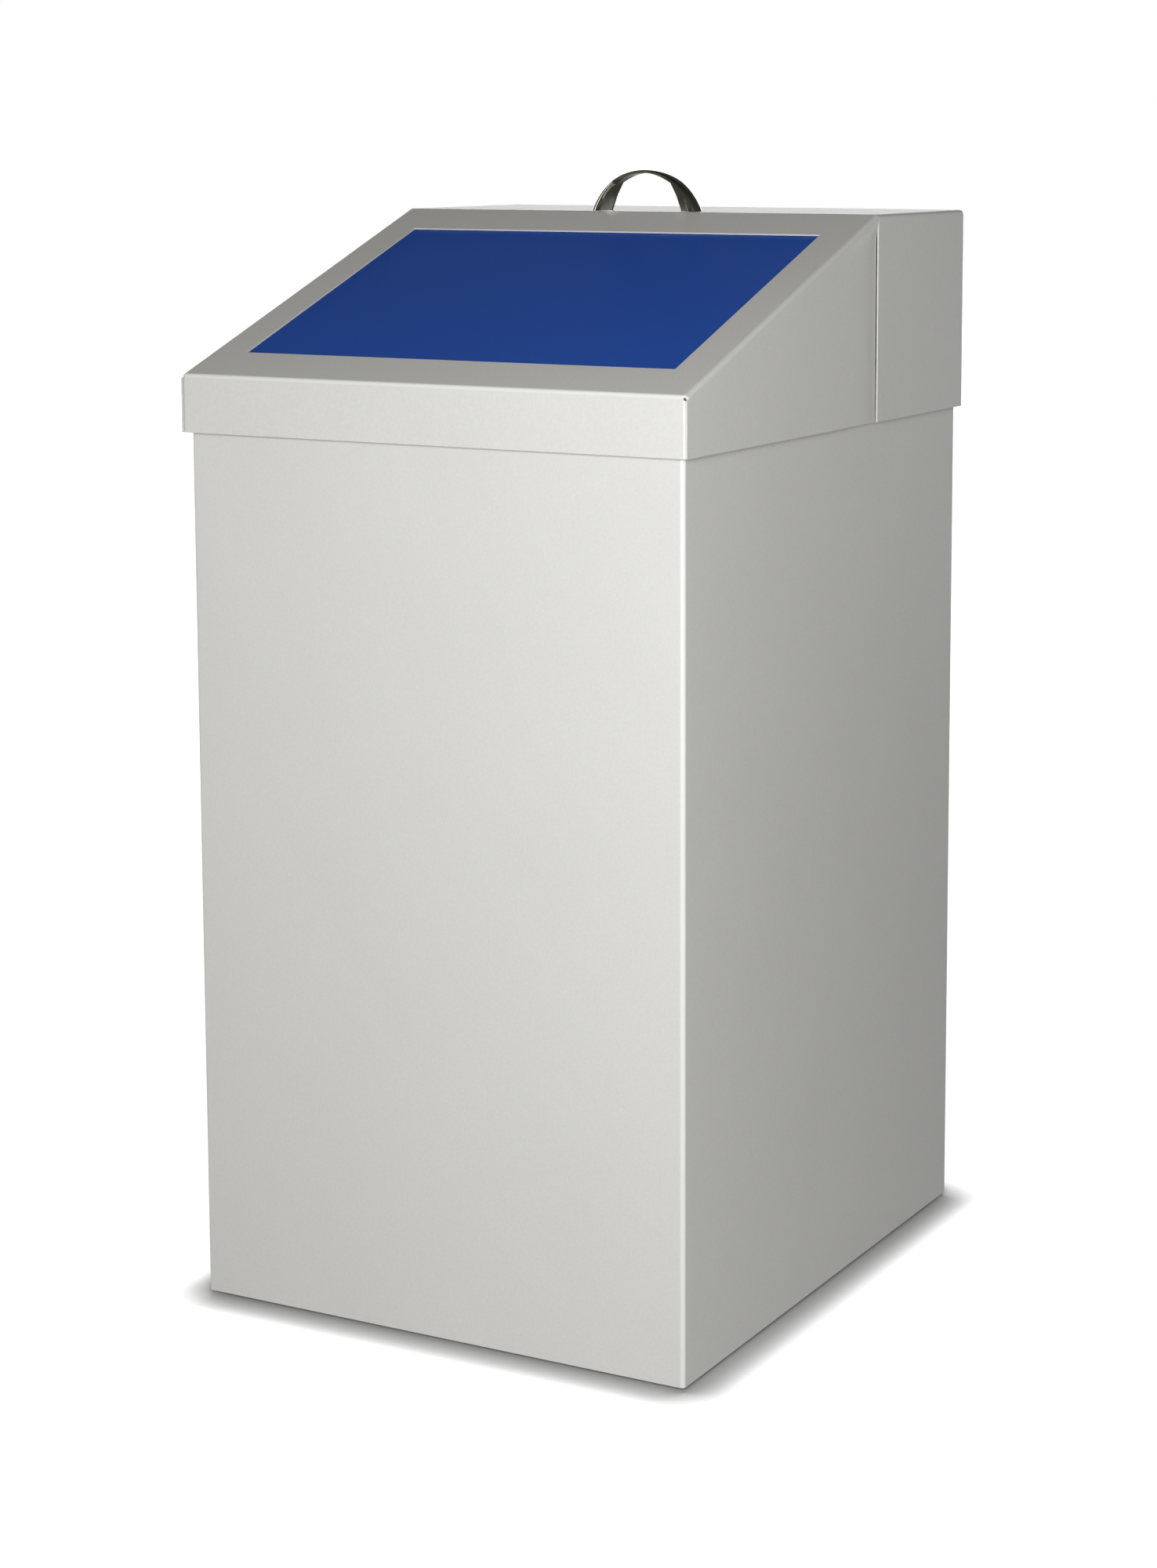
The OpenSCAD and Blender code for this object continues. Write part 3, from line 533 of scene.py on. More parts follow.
def hood_section():
    """The front view: the distance from the middle x, how far round the bend the point is, from 0 on
    the flat to 90 degrees on the cheek, and 1 on the bends."""
    turn = np.concatenate([arc(0, SKIRT_TURN, 5), arc(SKIRT_TURN, 90, 9)[1:]])
    flat = np.concatenate([[OPENING_X, OPENING_X - OPENING_R], np.linspace(0, OPENING_X - 12 * MM, 12),
                           near([WELDS[2][0]])])
    flat = np.unique(np.round(np.concatenate([flat, -flat]), 7))
    lift = np.sin(2 * turn)
    x = np.concatenate([-(hood_w2 - HOOD_BEND) - HOOD_BEND * np.sin(turn[::-1]), flat,
                        hood_w2 - HOOD_BEND + HOOD_BEND * np.sin(turn)])
    return x, np.concatenate([turn[::-1], 0 * flat, turn]), np.concatenate([lift[::-1], 0 * flat, lift])


line = hood_line()
across_x, across_turn, across_fold = hood_section()
print("hood grid:", len(line), "by", len(across_x), "lines")


# %% The crown's small marks and holes
FAR_OFF = 9.0


def weld_mark(u, v, places):
    """Depth of the spot welds' dimples at (u, v): a bell of the distance to each place."""
    depth = np.zeros(np.broadcast(u, v).shape)
    for a, b in places:
        depth = depth + np.exp(-((u - a) ** 2 + (v - b) ** 2) / WELD_R ** 2 * 1.5)
    return WELD_DEPTH * depth


def relief_distance(p):
    """Distance from the relief hole's axis, seen from the front; far off behind the front fold."""
    behind = np.where(p[..., 1] < fold_y - 0.2 * MM, 0.0, 1.0)
    return np.hypot(np.abs(p[..., 0]) - RELIEF_X, p[..., 2] - RELIEF_Z) + behind


def crown_cells(points):
    """True for each cell of the crown that stays: all but those of the opening, of the open joint
    beside the skirt and of the relief hole above that joint."""
    mid_x = (across_x[1:] + across_x[:-1]) / 2
    mid_t = np.nan_to_num((line[1:, 5] + line[:-1, 5]) / 2, nan=-1.0)
    down_slope = (mid_t > OPENING_NEAR) & (mid_t < OPENING_FAR)
    opening = (np.abs(mid_x) < OPENING_X)[None, :] & down_slope[:, None]
    mid_turn = (across_turn[1:] + across_turn[:-1]) / 2
    on_skirt = np.arange(len(line) - 1) < len(skirt_rows)
    joint = on_skirt[:, None] & (mid_turn > deg(SKIRT_TURN))[None, :]
    centre = (points[1:, 1:] + points[:-1, :-1]) / 2
    return ~(opening | joint | (relief_distance(centre) < RELIEF_R))


def round_relief_holes(points, keep):
    """The points that border both kept and cut cells near a relief hole, moved straight out from the
    hole's axis or in towards it until they lie on its circle."""
    cells = np.zeros(np.add(points.shape[:2], 1))
    cells[1:-1, 1:-1] = keep
    kept = cells[:-1, :-1] + cells[1:, :-1] + cells[:-1, 1:] + cells[1:, 1:]
    away = relief_distance(points)
    border = (kept > 0) & (kept < 4) & (away < 1.5 * RELIEF_R) & (points[..., 2] >= fold_z - 1e-9)
    scale = np.where(border, RELIEF_R / np.maximum(away, 1e-9), 1.0)
    centre_x = np.sign(points[..., 0]) * RELIEF_X
    points[..., 0] = centre_x + (points[..., 0] - centre_x) * scale
    points[..., 2] = RELIEF_Z + (points[..., 2] - RELIEF_Z) * scale


# %% The crown: skirt, slope with its opening, top and rear in one grid
SIDE_FOLD_SHARE = 0.3


def crown():
    """Point = line's point, moved inwards along its normal by r (1 - cos turn), at the section's x.
    The side folds carry less of the painted highlight than the others."""
    y, z, ny, nz, fold, t = (line[:, k][:, None] for k in range(6))
    inward = HOOD_BEND * (1 - np.cos(across_turn))[None, :]
    inward = inward + weld_mark(across_x[None, :], np.nan_to_num(t, nan=FAR_OFF), WELDS)
    x = np.broadcast_to(across_x[None, :], inward.shape)
    points = np.stack([x, y - inward * ny, z - inward * nz], 2)
    keep = crown_cells(points)
    round_relief_holes(points, keep)
    return grid(points, keep=keep, flip=True, fold=np.maximum(fold, SIDE_FOLD_SHARE * across_fold[None, :]))


def opening_corners():
    """The sheet that is left in each corner of the opening: a fan from the corner to a quarter circle."""
    a = arc(0, 90, 9)
    parts = []
    for sx in (-1, 1):
        for edge_t, st in ((OPENING_NEAR, 1), (OPENING_FAR, -1)):
            x = sx * (OPENING_X - OPENING_R + OPENING_R * np.cos(a))
            t = edge_t + st * (OPENING_R - OPENING_R * np.sin(a))
            x = np.stack([np.full_like(x, sx * OPENING_X), x])
            t = np.stack([np.full_like(t, edge_t), t])
            p = np.stack([x, top_fold_y - t * math.cos(slope), top_z - t * math.sin(slope)], 2)
            parts.append(grid(p, flip=(sx * st) > 0))
    return parts


# %% The cheeks, each in two flanges with an open joint between them
CHEEK_WELD = (-69.3 * MM, 592.3 * MM)
RECESS = 1.5 * MM
RECESS_RUN = 70 * MM
RECESS_RISE = 10 * MM
KEPT_APART = 0.02 * MM
CORNER_ROUND = 1.5 * MM
HOLE_R = 1.1 * MM
hole_z = top_z - HOOD_BEND - 0.5 * MM


def joint_half(z):
    """Half the width of the joint between the flanges: even below, round at the relief hole, and
    nothing above it, where the two flanges meet in the bend."""
    circle = np.sqrt(np.clip(HOLE_R ** 2 - (z - hole_z) ** 2, 0, None))
    return np.where(z < hole_z, np.maximum(JOINT / 2, circle), circle)


def cheek_columns():
    """Where a cheek's columns stand and how high each one reaches, for the front flange and for the
    rear one. A column stands at each of the crown's edge points, and at the skirt's end the top
    corner is part of a circle."""
    edge_y = line[:, 0] - HOOD_BEND * line[:, 2]
    edge_z = line[:, 1] - HOOD_BEND * line[:, 3]
    seam = int(np.nanargmin(np.abs(line[:, 5] - seam_t)))
    lead = np.array([0, 0.1, 0.3, 0.6, 1.0, 1.5, 2.2]) * MM
    drop = CORNER_ROUND - np.sqrt(CORNER_ROUND ** 2 - np.clip(CORNER_ROUND - lead, 0, None) ** 2)
    front = slice(len(skirt_rows), seam + 1)
    rear = slice(seam, len(line) - len(cheek_rows()) + 1)
    front_y = np.concatenate([lead - hood_d2, edge_y[front]])
    front_z = np.concatenate([fold_z - drop, edge_z[front]])
    return (front_y, front_z), (edge_y[rear], edge_z[rear])


def flange_grid(columns):
    """A flange's columns as y and z on a grid, and the height that each column reaches."""
    y, z_top = columns
    z = skirt_z + cheek_rows()[None, :] * (z_top - skirt_z)[:, None]
    return np.broadcast_to(y[:, None], z.shape), z, z_top[:, None]


def cheek(side):
    """Two flat grids under the crown's edge, cut back from the joint by half its width. The columns
    that the cut reaches stay a hair apart. The front flange springs in a little beside the joint, so
    the rear flange's edge stands proud."""
    front, rear = cheek_columns()
    y, z, z_top = flange_grid(front)
    apart = KEPT_APART * np.arange(len(y))[::-1, None]
    y = np.minimum(y, top_fold_y - joint_half(z) - apart)
    toward_joint = smoothstep((y - top_fold_y + RECESS_RUN) / RECESS_RUN)
    below_bend = smoothstep((z_top - z) / RECESS_RISE)
    x = hood_w2 - RECESS * toward_joint * below_bend - weld_mark(y, z, [CHEEK_WELD])
    parts = [grid(np.stack([side * x, y, z], 2), flip=side < 0)]
    y, z, _ = flange_grid(rear)
    apart = KEPT_APART * np.arange(len(y))[:, None]
    y = np.maximum(y, top_fold_y + joint_half(z) + apart)
    x = np.full_like(z, hood_w2)
    return parts + [grid(np.stack([side * x, y, z], 2), flip=side < 0)]


hood_parts = [crown()] + opening_corners() + cheek(-1) + cheek(1)
hood = piece("hood_skin", hood_parts, silver_paint, "hood", "hood_shell")
sheet_metal(hood, SHEET)

# %% [markdown]
# ## The bow handle
# The handle is a chromed casting. From the front its back is part of a circle, its legs are
# straight inside and its crown is a thin ribbon. Each leg has a ridge: the back rolls over to it,
# and a flat face falls from it to the inner edge. So a section, which is half an ellipse on the
# back and two facets inside, is carried from foot to foot. A bevelled curve could not change its
# section on the way, and the ridge would be lost.

# %% The handle's loft
handle_low, handle_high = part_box("bow_handle")
foot_z = handle_low[2]
bow_h = handle_high[2] - foot_z
bow_half = handle_high[0]
bow_y = (handle_low[1] + handle_high[1]) / 2
bow_w = (handle_high[1] - handle_low[1]) / 2
GAP_FOOT = 26 * MM
GAP_TOP = 19.5 * MM
LEG_H = 18.2 * MM
CROWN_T = 2.3 * MM
RIDGE = 0.42
BACK_SHARE = 0.6
INNER_FOOT, INNER_CROWN = 0.2, 0.87
LEG_ENDS, CROWN_STARTS = 0.35, 0.90
WAIST = 0.80
back_r = (bow_half ** 2 + bow_h ** 2) / (2 * bow_h)


def bow_lines(count):
    """Points on the back's circle at even angles, and as many facing points inside, which go up the
    straight leg, over the arch's circle and down the other leg."""
    reach = math.asin(bow_half / back_r)
    a = np.linspace(-reach, reach, count)
    outer = np.stack([back_r * np.sin(a), bow_h - back_r + back_r * np.cos(a)], 1)
    arch_h = bow_h - CROWN_T - LEG_H
    arch_r = (GAP_TOP ** 2 + arch_h ** 2) / (2 * arch_h)
    rise = np.linspace(0, 1, count // 4)[:-1]
    leg = np.stack([GAP_FOOT + (GAP_TOP - GAP_FOOT) * rise, LEG_H * rise], 1)
    b = np.linspace(math.asin(GAP_TOP / arch_r), 0, count // 2 + 1 - len(leg))
    arch = np.stack([arch_r * np.sin(b), LEG_H + arch_h - arch_r + arch_r * np.cos(b)], 1)
    right = np.vstack([leg, arch])
    inside = np.vstack([right[:-1] * (-1, 1), right[::-1]])
    return outer, inside


def bow_sections(count=65, around=24):
    """Each section runs from the back point, q = 0, to the inside point, q = 1. Its half width in Y is
    an ellipse up to the ridge, and from there a straight taper to the inner face, which is narrow on
    the legs and nearly as wide as the ridge at the crown. The feet are narrower than the crown."""
    back, inside = bow_lines(count)
    height = back[:, 1] / bow_h
    half = np.linspace(0, 1, around // 2 + 1)
    rolled = RIDGE * (1 - np.cos(half / BACK_SHARE * np.pi / 2))
    facet = RIDGE + (1 - RIDGE) * (half - BACK_SHARE) / (1 - BACK_SHARE)
    q = np.where(half < BACK_SHARE, rolled, facet)
    to_crown = smoothstep((height - LEG_ENDS) / (CROWN_STARTS - LEG_ENDS))
    inner = INNER_FOOT + (INNER_CROWN - INNER_FOOT) * to_crown
    ellipse = np.sqrt(np.clip(1 - ((RIDGE - q) / RIDGE) ** 2, 0, 1))[None, :]
    taper = 1 - (1 - inner)[:, None] * ((q - RIDGE) / (1 - RIDGE))[None, :]
    waist = (WAIST + (1 - WAIST) * smoothstep(height / CROWN_STARTS))[:, None]
    w = bow_w * np.where(q[None, :] < RIDGE, ellipse, taper) * waist
    xz = back[:, None, :] + q[None, :, None] * (inside - back)[:, None, :]
    near_side = np.stack([xz[..., 0], bow_y - w, foot_z + xz[..., 1]], 2)
    far_side = np.stack([xz[..., 0], bow_y + w, foot_z + xz[..., 1]], 2)
    return np.concatenate([near_side, far_side[:, ::-1][:, :-1]], 1)


rings = bow_sections()
foot_caps = [grid(np.stack([np.broadcast_to(r.mean(0), r.shape), r]), loop_v=True, flip=f)
             for r, f in ((rings[0], True), (rings[-1], False))]
piece("bow", [grid(rings, loop_v=True)] + foot_caps, chrome, "hood", "bow_handle")

# %% [markdown]
# ## Wire parts
# The springs and the liner's grips are bent from round wire. A circle is carried along a line of
# points, in a plane square to the line at each point. A curve object with a round bevel would
# look the same, but a mesh keeps its place in its points, as the frame's own pieces do.

# %% Wire along a line
def wire(line, radius, sides=12):
    """Rings of radius round each point of the line. The two directions across the line come from its
    heading and a steady one: X, or nearly Z where the line runs along X."""
    heading = np.gradient(line, axis=0)
    heading /= np.linalg.norm(heading, axis=1, keepdims=True)
    steady = np.array([1.0, 0, 0]) if np.abs(heading[:, 0]).max() < 0.9 else np.array([0, 0.2, 1.0])
    out = np.cross(heading, steady)
    out /= np.linalg.norm(out, axis=1, keepdims=True)
    up = np.cross(out, heading)
    a = np.linspace(0, 2 * np.pi, sides, endpoint=False)
    ring = line[:, None, :] + radius * (np.cos(a)[None, :, None] * out[:, None, :]
                                        + np.sin(a)[None, :, None] * up[:, None, :])
    caps = [grid(np.stack([np.broadcast_to(line[k], ring[k].shape), ring[k]]), loop_v=True, flip=f)
            for k, f in ((0, False), (-1, True))]
    return [grid(ring, loop_v=True, flip=True)] + caps


def on_slope(p):
    """From the top fold's frame, where -Y runs down the slope and +Z stands out of it."""
    y, z = p[:, 1], p[:, 2]
    return np.stack([p[:, 0], top_fold_y + y * math.cos(slope) - z * math.sin(slope),
                     top_z + y * math.sin(slope) + z * math.cos(slope)], 1)


def rounded_line(corners, radii, steps=8):
    """A line through corners, each cut by a quarter turn of its own radius."""
    corners = np.array(corners, float)
    points = [corners[:1]]
    for k in range(1, len(corners) - 1):
        back = corners[k - 1] - corners[k]
        ahead = corners[k + 1] - corners[k]
        back, ahead = back / np.linalg.norm(back), ahead / np.linalg.norm(ahead)
        a = np.linspace(0, np.pi / 2, steps)[:, None]
        points.append(corners[k] + radii[k - 1] * ((1 - np.sin(a)) * back + (1 - np.cos(a)) * ahead))
    points.append(corners[-1:])
    return np.vstack(points)


# %% Torsion springs, which twist as the flap opens
ROD_FROM_FOLD = 30 * MM
ROD_LEVEL = -10 * MM
SPRING_R = 5 * MM
SPRING_WIRE = 0.9 * MM
TURNS = 12
PITCH = 1.95 * MM
COIL_START, COIL_END = 125.2 * MM, 148.6 * MM
HOOD_LEG, HOOD_LEG_LEVEL = 20 * MM, -1.95 * MM
FLAP_LEG, FLAP_LEG_LEVEL = 45 * MM, -3.5 * MM


def spring_line():
    """A leg under the slope, the turns about the rod, each one wire and a little further along, and a
    leg on the flap."""
    turn = np.linspace(0, 2 * np.pi * TURNS, 16 * TURNS + 1)
    coil = np.stack([COIL_START + PITCH * turn / (2 * np.pi),
                     SPRING_R * np.cos(np.pi / 2 + turn) - ROD_FROM_FOLD,
                     SPRING_R * np.sin(np.pi / 2 + turn) + ROD_LEVEL], 1)
    hood_leg = [[COIL_START, HOOD_LEG - ROD_FROM_FOLD, HOOD_LEG_LEVEL]]
    flap_leg = [[COIL_END, -ROD_FROM_FOLD - FLAP_LEG, FLAP_LEG_LEVEL]]
    return on_slope(np.vstack([hood_leg, coil, flap_leg]))


for side, name in ((1, "right"), (-1, "left")):
    points = spring_line() * (side, 1, 1)
    coils = wire(points, SPRING_WIRE, 8)
    spring = piece("spring_" + name, coils, bright_steel, None, "torsion_spring_" + name)
    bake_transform(spring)

# %% The liner's grips
grip_low, grip_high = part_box("grip_right")
GRIP_WIRE = 2.5 * MM
GRIP_HALF = 42 * MM
PIN_BEND, BAR_BEND = 5 * MM, 12 * MM
grip_x = grip_high[0] - GRIP_WIRE
pin_z, pin_end = grip_high[2] - GRIP_WIRE, grip_high[1]
bar_z = grip_low[2] + GRIP_WIRE
grip_outline = [(-pin_end, pin_z), (-GRIP_HALF, pin_z), (-GRIP_HALF, bar_z),
                (GRIP_HALF, bar_z), (GRIP_HALF, pin_z), (pin_end, pin_z)]
for side, name in ((1, "right"), (-1, "left")):
    corners = [(side * grip_x, y, z) for y, z in grip_outline]
    bent = rounded_line(corners, [PIN_BEND, BAR_BEND, BAR_BEND, PIN_BEND])
    piece("wire_grip_" + name, wire(bent, GRIP_WIRE, 16), bright_steel, name + "_grip", "grip_" + name)

# %% [markdown]
# ## The liner, its mat and the pads
# The liner is a wrap of galvanised sheet with round corners, a hem rolled outwards at its rim and
# a lapped seam behind. The mat is moulded rubber with rounded edges and ribs that quiet the drop,
# and the pads under the case are turned shapes with a soft edge.

# %% The liner's wrap
liner_low, liner_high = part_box("liner_shell")
LINER_T = 0.8 * MM
LINER_R = 15 * MM
LINER_HEM = 9 * MM
LAP_HALF = 10 * MM
liner_w2, liner_d2 = liner_high[0] - LINER_T, -liner_low[1] - LINER_T


def round_plan(w2, d2, r, steps=12):
    """A rectangle with round corners as a loop of points and outward normals, anticlockwise from +X."""
    a = np.concatenate([arc(k * 90, k * 90 + 90, steps) for k in range(4)])
    n = np.stack([np.cos(a), np.sin(a)], 1)
    corner = np.repeat(np.array([(1, 1), (-1, 1), (-1, -1), (1, -1)]), steps, axis=0)
    return corner * (w2 - r, d2 - r) + r * n, n


def carried(profile, plan, normals):
    """A closed profile of (outward, height) pairs carried round a closed plan."""
    xy = plan[:, None, :] + profile[None, :, :1] * normals[:, None, :]
    z = np.broadcast_to(profile[None, :, 1], xy.shape[:2])
    return np.concatenate([xy, z[:, :, None]], 2)


roll = arc(180, 0, 9)
hem = np.stack([LINER_T * np.cos(roll), liner_high[2] - LINER_T + LINER_T * np.sin(roll)], 1)
hem_low = liner_high[2] - LINER_HEM
outside = [(LINER_T, hem_low), (0, hem_low), (0, liner_low[2])]
liner_profile = np.vstack([[(-LINER_T, liner_low[2])], hem, outside])
liner_skin = carried(liner_profile, *round_plan(liner_w2, liner_d2, LINER_R))
liner_parts = [grid(liner_skin, loop_u=True, loop_v=True, flip=True)]
lap_x = np.array([-1, 1, 1, -1]) * LAP_HALF
lap_y = liner_d2 + np.array([0, 0, LINER_T, LINER_T])
lap = np.stack([np.stack([lap_x, lap_y, np.full(4, z)], 1) for z in (liner_low[2], hem_low)])
lap_ends = lap[:, [0, 1, 3, 2]].reshape(2, 2, 2, 3)
liner_parts += [grid(lap, loop_v=True, flip=True), grid(lap_ends[0]), grid(lap_ends[1], flip=True)]
piece("liner_wrap", liner_parts, galvanised, "liner", "liner_shell")

# %% The ribbed mat
mat_low, mat_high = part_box("drop_mat")
MAT_R = 10.4 * MM
MAT_BORDER = 6 * MM
BORDER_FADE = 3 * MM


def ribbed_mat(rows=188, columns=40, edge=2 * MM, rib=0.9 * MM, pitch=9 * MM):
    """The top is a sheet of rows whose half width follows the round corners; its height dips between
    ribs as a rectified sine, and rolls down at the edge. Inside a plain border the dips fade in. The
    sides drop straight to a flat base."""
    w2, d2 = mat_high[0], mat_high[1]
    y = np.concatenate([-d2 + edge * np.linspace(0, 1, 5)[:-1] ** 2,
                        np.linspace(-d2 + edge, d2 - edge, rows),
                        d2 - edge * np.linspace(1, 0, 5)[1:] ** 2])
    short = np.clip(np.abs(y) - (d2 - MAT_R), 0, MAT_R)
    half = w2 - MAT_R + np.sqrt(np.clip(MAT_R ** 2 - short ** 2, 0, None))
    s = np.sin(np.linspace(-np.pi / 2, np.pi / 2, columns))
    x = half[:, None] * s[None, :]
    inset = np.minimum(half[:, None] - np.abs(x), d2 - np.abs(y)[:, None])
    dip = rib * (1 - np.abs(np.sin(np.pi * y / pitch))) ** 2
    field = smoothstep((inset - MAT_BORDER) / BORDER_FADE)
    rolled = edge - np.sqrt(np.clip(edge ** 2 - np.clip(edge - inset, 0, None) ** 2, 0, None))
    z_top = mat_high[2] - rolled - field * dip[:, None]
    yy = np.broadcast_to(y[:, None], x.shape)
    top = np.stack([x, yy, z_top], 2)
    base = np.stack([x, yy, np.full_like(x, mat_low[2])], 2)
    rim = np.concatenate([top[0, :], top[1:, -1], top[-1, -2::-1], top[-2:0:-1, 0]])
    foot = rim * (1, 1, 0) + (0, 0, mat_low[2])
    return [grid(top, flip=True), grid(base), grid(np.stack([rim, foot]), loop_v=True, flip=True)]


piece("ribbed_mat", ribbed_mat(), rubber, "liner", "drop_mat")


# %% The pads
def turned(profile, centre, steps=32):
    """A profile of (radius, height) pairs turned about an upright axis."""
    a = np.linspace(0, 2 * np.pi, steps, endpoint=False)
    x = centre[0] + np.cos(a)[:, None] * profile[None, :, 0]
    y = centre[1] + np.sin(a)[:, None] * profile[None, :, 0]
    return grid(np.stack([x, y, np.broadcast_to(profile[None, :, 1], x.shape)], 2), loop_u=True)


_, pads_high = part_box("foot_pads")
PAD_R = 12 * MM
PAD_EDGE = 0.8 * MM
pad_h = pads_high[2]
lower = arc(-90, 0, 6)
soft_edge = np.stack([PAD_R - PAD_EDGE + PAD_EDGE * np.cos(lower), PAD_EDGE + PAD_EDGE * np.sin(lower)], 1)
pad_profile = np.vstack([[(0, 0)], soft_edge, [(PAD_R, pad_h), (0, pad_h)]])
pads = [turned(pad_profile, (sx * (pads_high[0] - PAD_R), sy * (pads_high[1] - PAD_R)))
        for sx in (-1, 1) for sy in (-1, 1)]
piece("rubber_pads", pads, rubber, "case", "foot_pads")

# %% [markdown]
# ## Broken edges on the small folded parts
# The ledges, brackets, base, rear panel and flap keep the frame's own shape, because they are flat
# parts with plain folds. They could be made again from grids, but a weld and a fine bevel on each
# are enough to let their edges catch the light as real cut sheet does.

# %% Bevel the flat parts
FOLDED_PARTS = ("ledge_left", "ledge_right", "ledge_rear", "hinge_bracket_left", "hinge_bracket_right",
                "rear_panel", "base_pan", "flap_panel")
for name in FOLDED_PARTS:
    joined = nodes[name].modifiers.new("weld", "WELD")
    joined.merge_threshold = 0.01 * MM
    bevelled(nodes[name], 0.12 * MM, 1)
print("bevelled", len(FOLDED_PARTS), "frame nodes")

# %% [markdown]
# ## Floor, light and camera
# The bin stands on a white studio sweep. A soft light stands to the front right at the bin's own
# height, so the front is brightest towards the right, the side falls off to the rear and the slope
# stays in half tone. A wide light behind lifts the rear, and a tall narrow one on the left draws a
# line along the chrome. The room is dark all round and above and white in one patch behind, which
# gives the chrome its dark tones and the flat top its pale sheen.

# %% Floor
FLOOR = 15
SHADOW_REACH = 0.027
SHADOW_DEPTH = 5.0
GLOW_NEAR, GLOW_FAR = 0.5, 1.6
floor_mesh = bpy.data.meshes.new("floor")
floor_corners = [(-FLOOR, -FLOOR, 0), (FLOOR, -FLOOR, 0), (FLOOR, FLOOR, 0), (-FLOOR, FLOOR, 0)]
floor_mesh.from_pydata(floor_corners, [], [(0, 1, 2, 3)])
floor = bpy.data.objects.new("floor", floor_mesh)
bpy.context.scene.collection.objects.link(floor)


def sweep_glow(tree, near_strength, far_strength, cast_strength):
    """The lit sweep's own glow as the camera sees it, from near the bin to far off, dimmed in the soft
    shadow round the bin's foot. On the bin itself it casts only cast_strength."""
    place = tree.nodes.new("ShaderNodeTexCoord").outputs["Object"]
    away = tree.nodes.new("ShaderNodeVectorMath")
    away.operation = "LENGTH"
    tree.links.new(place, away.inputs[0])
    glow_here = ranged(tree, away.outputs["Value"], GLOW_NEAR, GLOW_FAR, near_strength, far_strength)
    open_sky = tree.nodes.new("ShaderNodeAmbientOcclusion")
    open_sky.inputs["Distance"].default_value = SHADOW_REACH
    steeper = tree.nodes.new("ShaderNodeMath")
    steeper.operation = "POWER"
    tree.links.new(open_sky.outputs["AO"], steeper.inputs[0])
    steeper.inputs[1].default_value = SHADOW_DEPTH
    dimmed = tree.nodes.new("ShaderNodeMath")
    dimmed.operation = "MULTIPLY"
    tree.links.new(glow_here, dimmed.inputs[0])
    tree.links.new(steeper.outputs[0], dimmed.inputs[1])
    glow = tree.nodes.new("ShaderNodeEmission")
    choose = tree.nodes.new("ShaderNodeMix")
    tree.links.new(tree.nodes.new("ShaderNodeLightPath").outputs["Is Camera Ray"], choose.inputs[0])
    choose.inputs[2].default_value = cast_strength
    tree.links.new(dimmed.outputs[0], choose.inputs[3])
    tree.links.new(choose.outputs[0], glow.inputs["Strength"])
    return glow.outputs[0]


sweep = bpy.data.materials.new("sweep")
sweep.use_nodes = True
tree = sweep.node_tree
shader = tree.nodes["Principled BSDF"]
shader.inputs["Base Color"].default_value = (0.45, 0.45, 0.45, 1)
shader.inputs["Roughness"].default_value = 0.9
shader.inputs["Specular IOR Level"].default_value = 0.1
both = tree.nodes.new("ShaderNodeAddShader")
tree.links.new(shader.outputs[0], both.inputs[0])
glow = sweep_glow(tree, near_strength=0.88, far_strength=1.05, cast_strength=0.19)
tree.links.new(glow, both.inputs[1])
tree.links.new(both.outputs[0], tree.nodes["Material Output"].inputs["Surface"])
floor_mesh.materials.append(sweep)

# %% The room
BACKDROP, ROOM, OVERHEAD = 2.8, 0.16, 0.05
BACKDROP_WAY = Vector((-0.46, 0.876, 0.10)).normalized()
PATCH_EDGE, PATCH_CORE = 0.93, 0.985
LOW_Z, HIGH_Z = 0.2, 0.9
world = bpy.data.worlds.new("studio")
bpy.context.scene.world = world
world.use_nodes = True
tree = world.node_tree
tree.nodes.clear()
way = tree.nodes.new("ShaderNodeTexCoord").outputs["Generated"]
split = tree.nodes.new("ShaderNodeSeparateXYZ")
tree.links.new(way, split.inputs[0])
toward = tree.nodes.new("ShaderNodeVectorMath")
toward.operation = "DOT_PRODUCT"
toward.inputs[1].default_value = BACKDROP_WAY
tree.links.new(way, toward.inputs[0])
behind = ranged(tree, toward.outputs["Value"], PATCH_EDGE, PATCH_CORE, 0, 1)
overhead = ranged(tree, split.outputs["Z"], LOW_Z, HIGH_Z, ROOM, OVERHEAD)
strength = tree.nodes.new("ShaderNodeMix")
tree.links.new(behind, strength.inputs[0])
tree.links.new(overhead, strength.inputs[2])
strength.inputs[3].default_value = BACKDROP
room = tree.nodes.new("ShaderNodeBackground")
tree.links.new(strength.outputs[0], room.inputs["Strength"])
white = tree.nodes.new("ShaderNodeBackground")
white.inputs["Strength"].default_value = 1.0
for light in (room, white):
    light.inputs["Color"].default_value = (1, 1, 1, 1)
choose = tree.nodes.new("ShaderNodeMixShader")
tree.links.new(tree.nodes.new("ShaderNodeLightPath").outputs["Is Camera Ray"], choose.inputs[0])
tree.links.new(room.outputs[0], choose.inputs[1])
tree.links.new(white.outputs[0], choose.inputs[2])
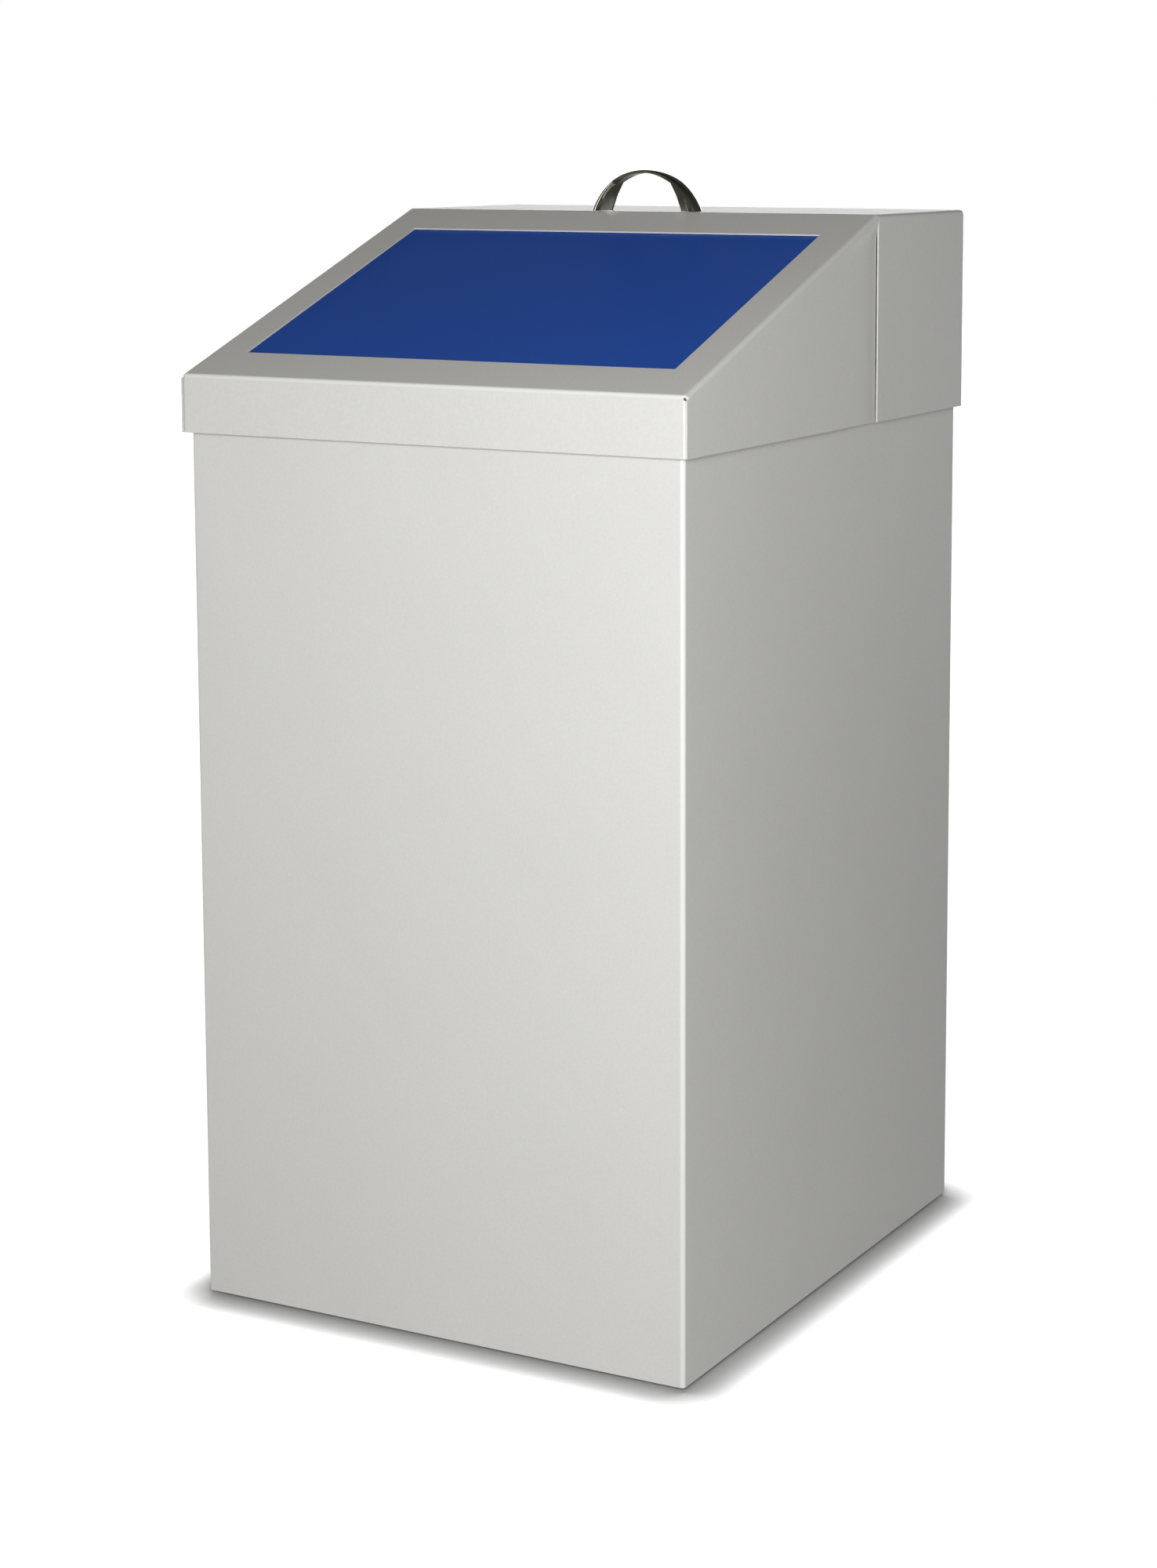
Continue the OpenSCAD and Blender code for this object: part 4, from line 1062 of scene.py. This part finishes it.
tree.links.new(choose.outputs[0], tree.nodes.new("ShaderNodeOutputWorld").inputs["Surface"])


# %% Lamps
def softbox(name, azimuth, elevation, distance, width, height, watts, aim=(0, 0, 0.45)):
    """A rectangular soft light round the bin, turned to face the aim. Azimuth 0 is the front."""
    lamp = bpy.data.lights.new(name, "AREA")
    lamp.shape = "RECTANGLE"
    lamp.size = width
    lamp.size_y = height
    lamp.energy = watts
    obj = bpy.data.objects.new(name, lamp)
    a, e = deg(azimuth), deg(elevation)
    away = Vector((math.sin(a) * math.cos(e), -math.cos(a) * math.cos(e), math.sin(e)))
    obj.location = Vector(aim) + away * distance
    obj.rotation_mode = "QUATERNION"
    obj.rotation_quaternion = (-away).to_track_quat("-Z", "Y")
    bpy.context.scene.collection.objects.link(obj)
    return obj


softbox("key", 28, 3, 1.45, 0.6, 0.6, 19.3, aim=(0, 0, 0.70))
softbox("rear_fill", 180, 3, 2.6, 1.2, 1.2, 16)
strip = softbox("strip", -74, 12, 1.8, 0.22, 0.9, 5, aim=(0, 0.07, 0.69))
strip.data.color = (1.0, 0.95, 0.84)

# %% Camera
CASE_W = 0.34
AZIMUTH, ELEVATION = deg(27.824), deg(7.574)
DISTANCE = 5.1673 * CASE_W
camera_data = bpy.data.cameras.new("camera")
camera = bpy.data.objects.new("camera", camera_data)
bpy.context.scene.collection.objects.link(camera)
bpy.context.scene.camera = camera
level = math.cos(ELEVATION)
back = Vector((math.sin(AZIMUTH) * level, -math.cos(AZIMUTH) * level, math.sin(ELEVATION)))
target = Vector((0.4887 * CASE_W, -0.195, 1.4530 * CASE_W + 0.003))
camera.location = target + back * DISTANCE
camera.rotation_mode = "QUATERNION"
camera.rotation_quaternion = (-back).to_track_quat("-Z", "Y")
camera_data.lens = 71.62
camera_data.sensor_width = 36
camera_data.shift_x = -0.0635
camera_data.shift_y = -0.1497
camera_data.clip_start = 0.05
camera_data.clip_end = 60
bpy.context.scene.view_settings.view_transform = "Standard"
bpy.context.scene.view_settings.look = "None"
print("camera at", [round(v, 3) for v in camera.location])
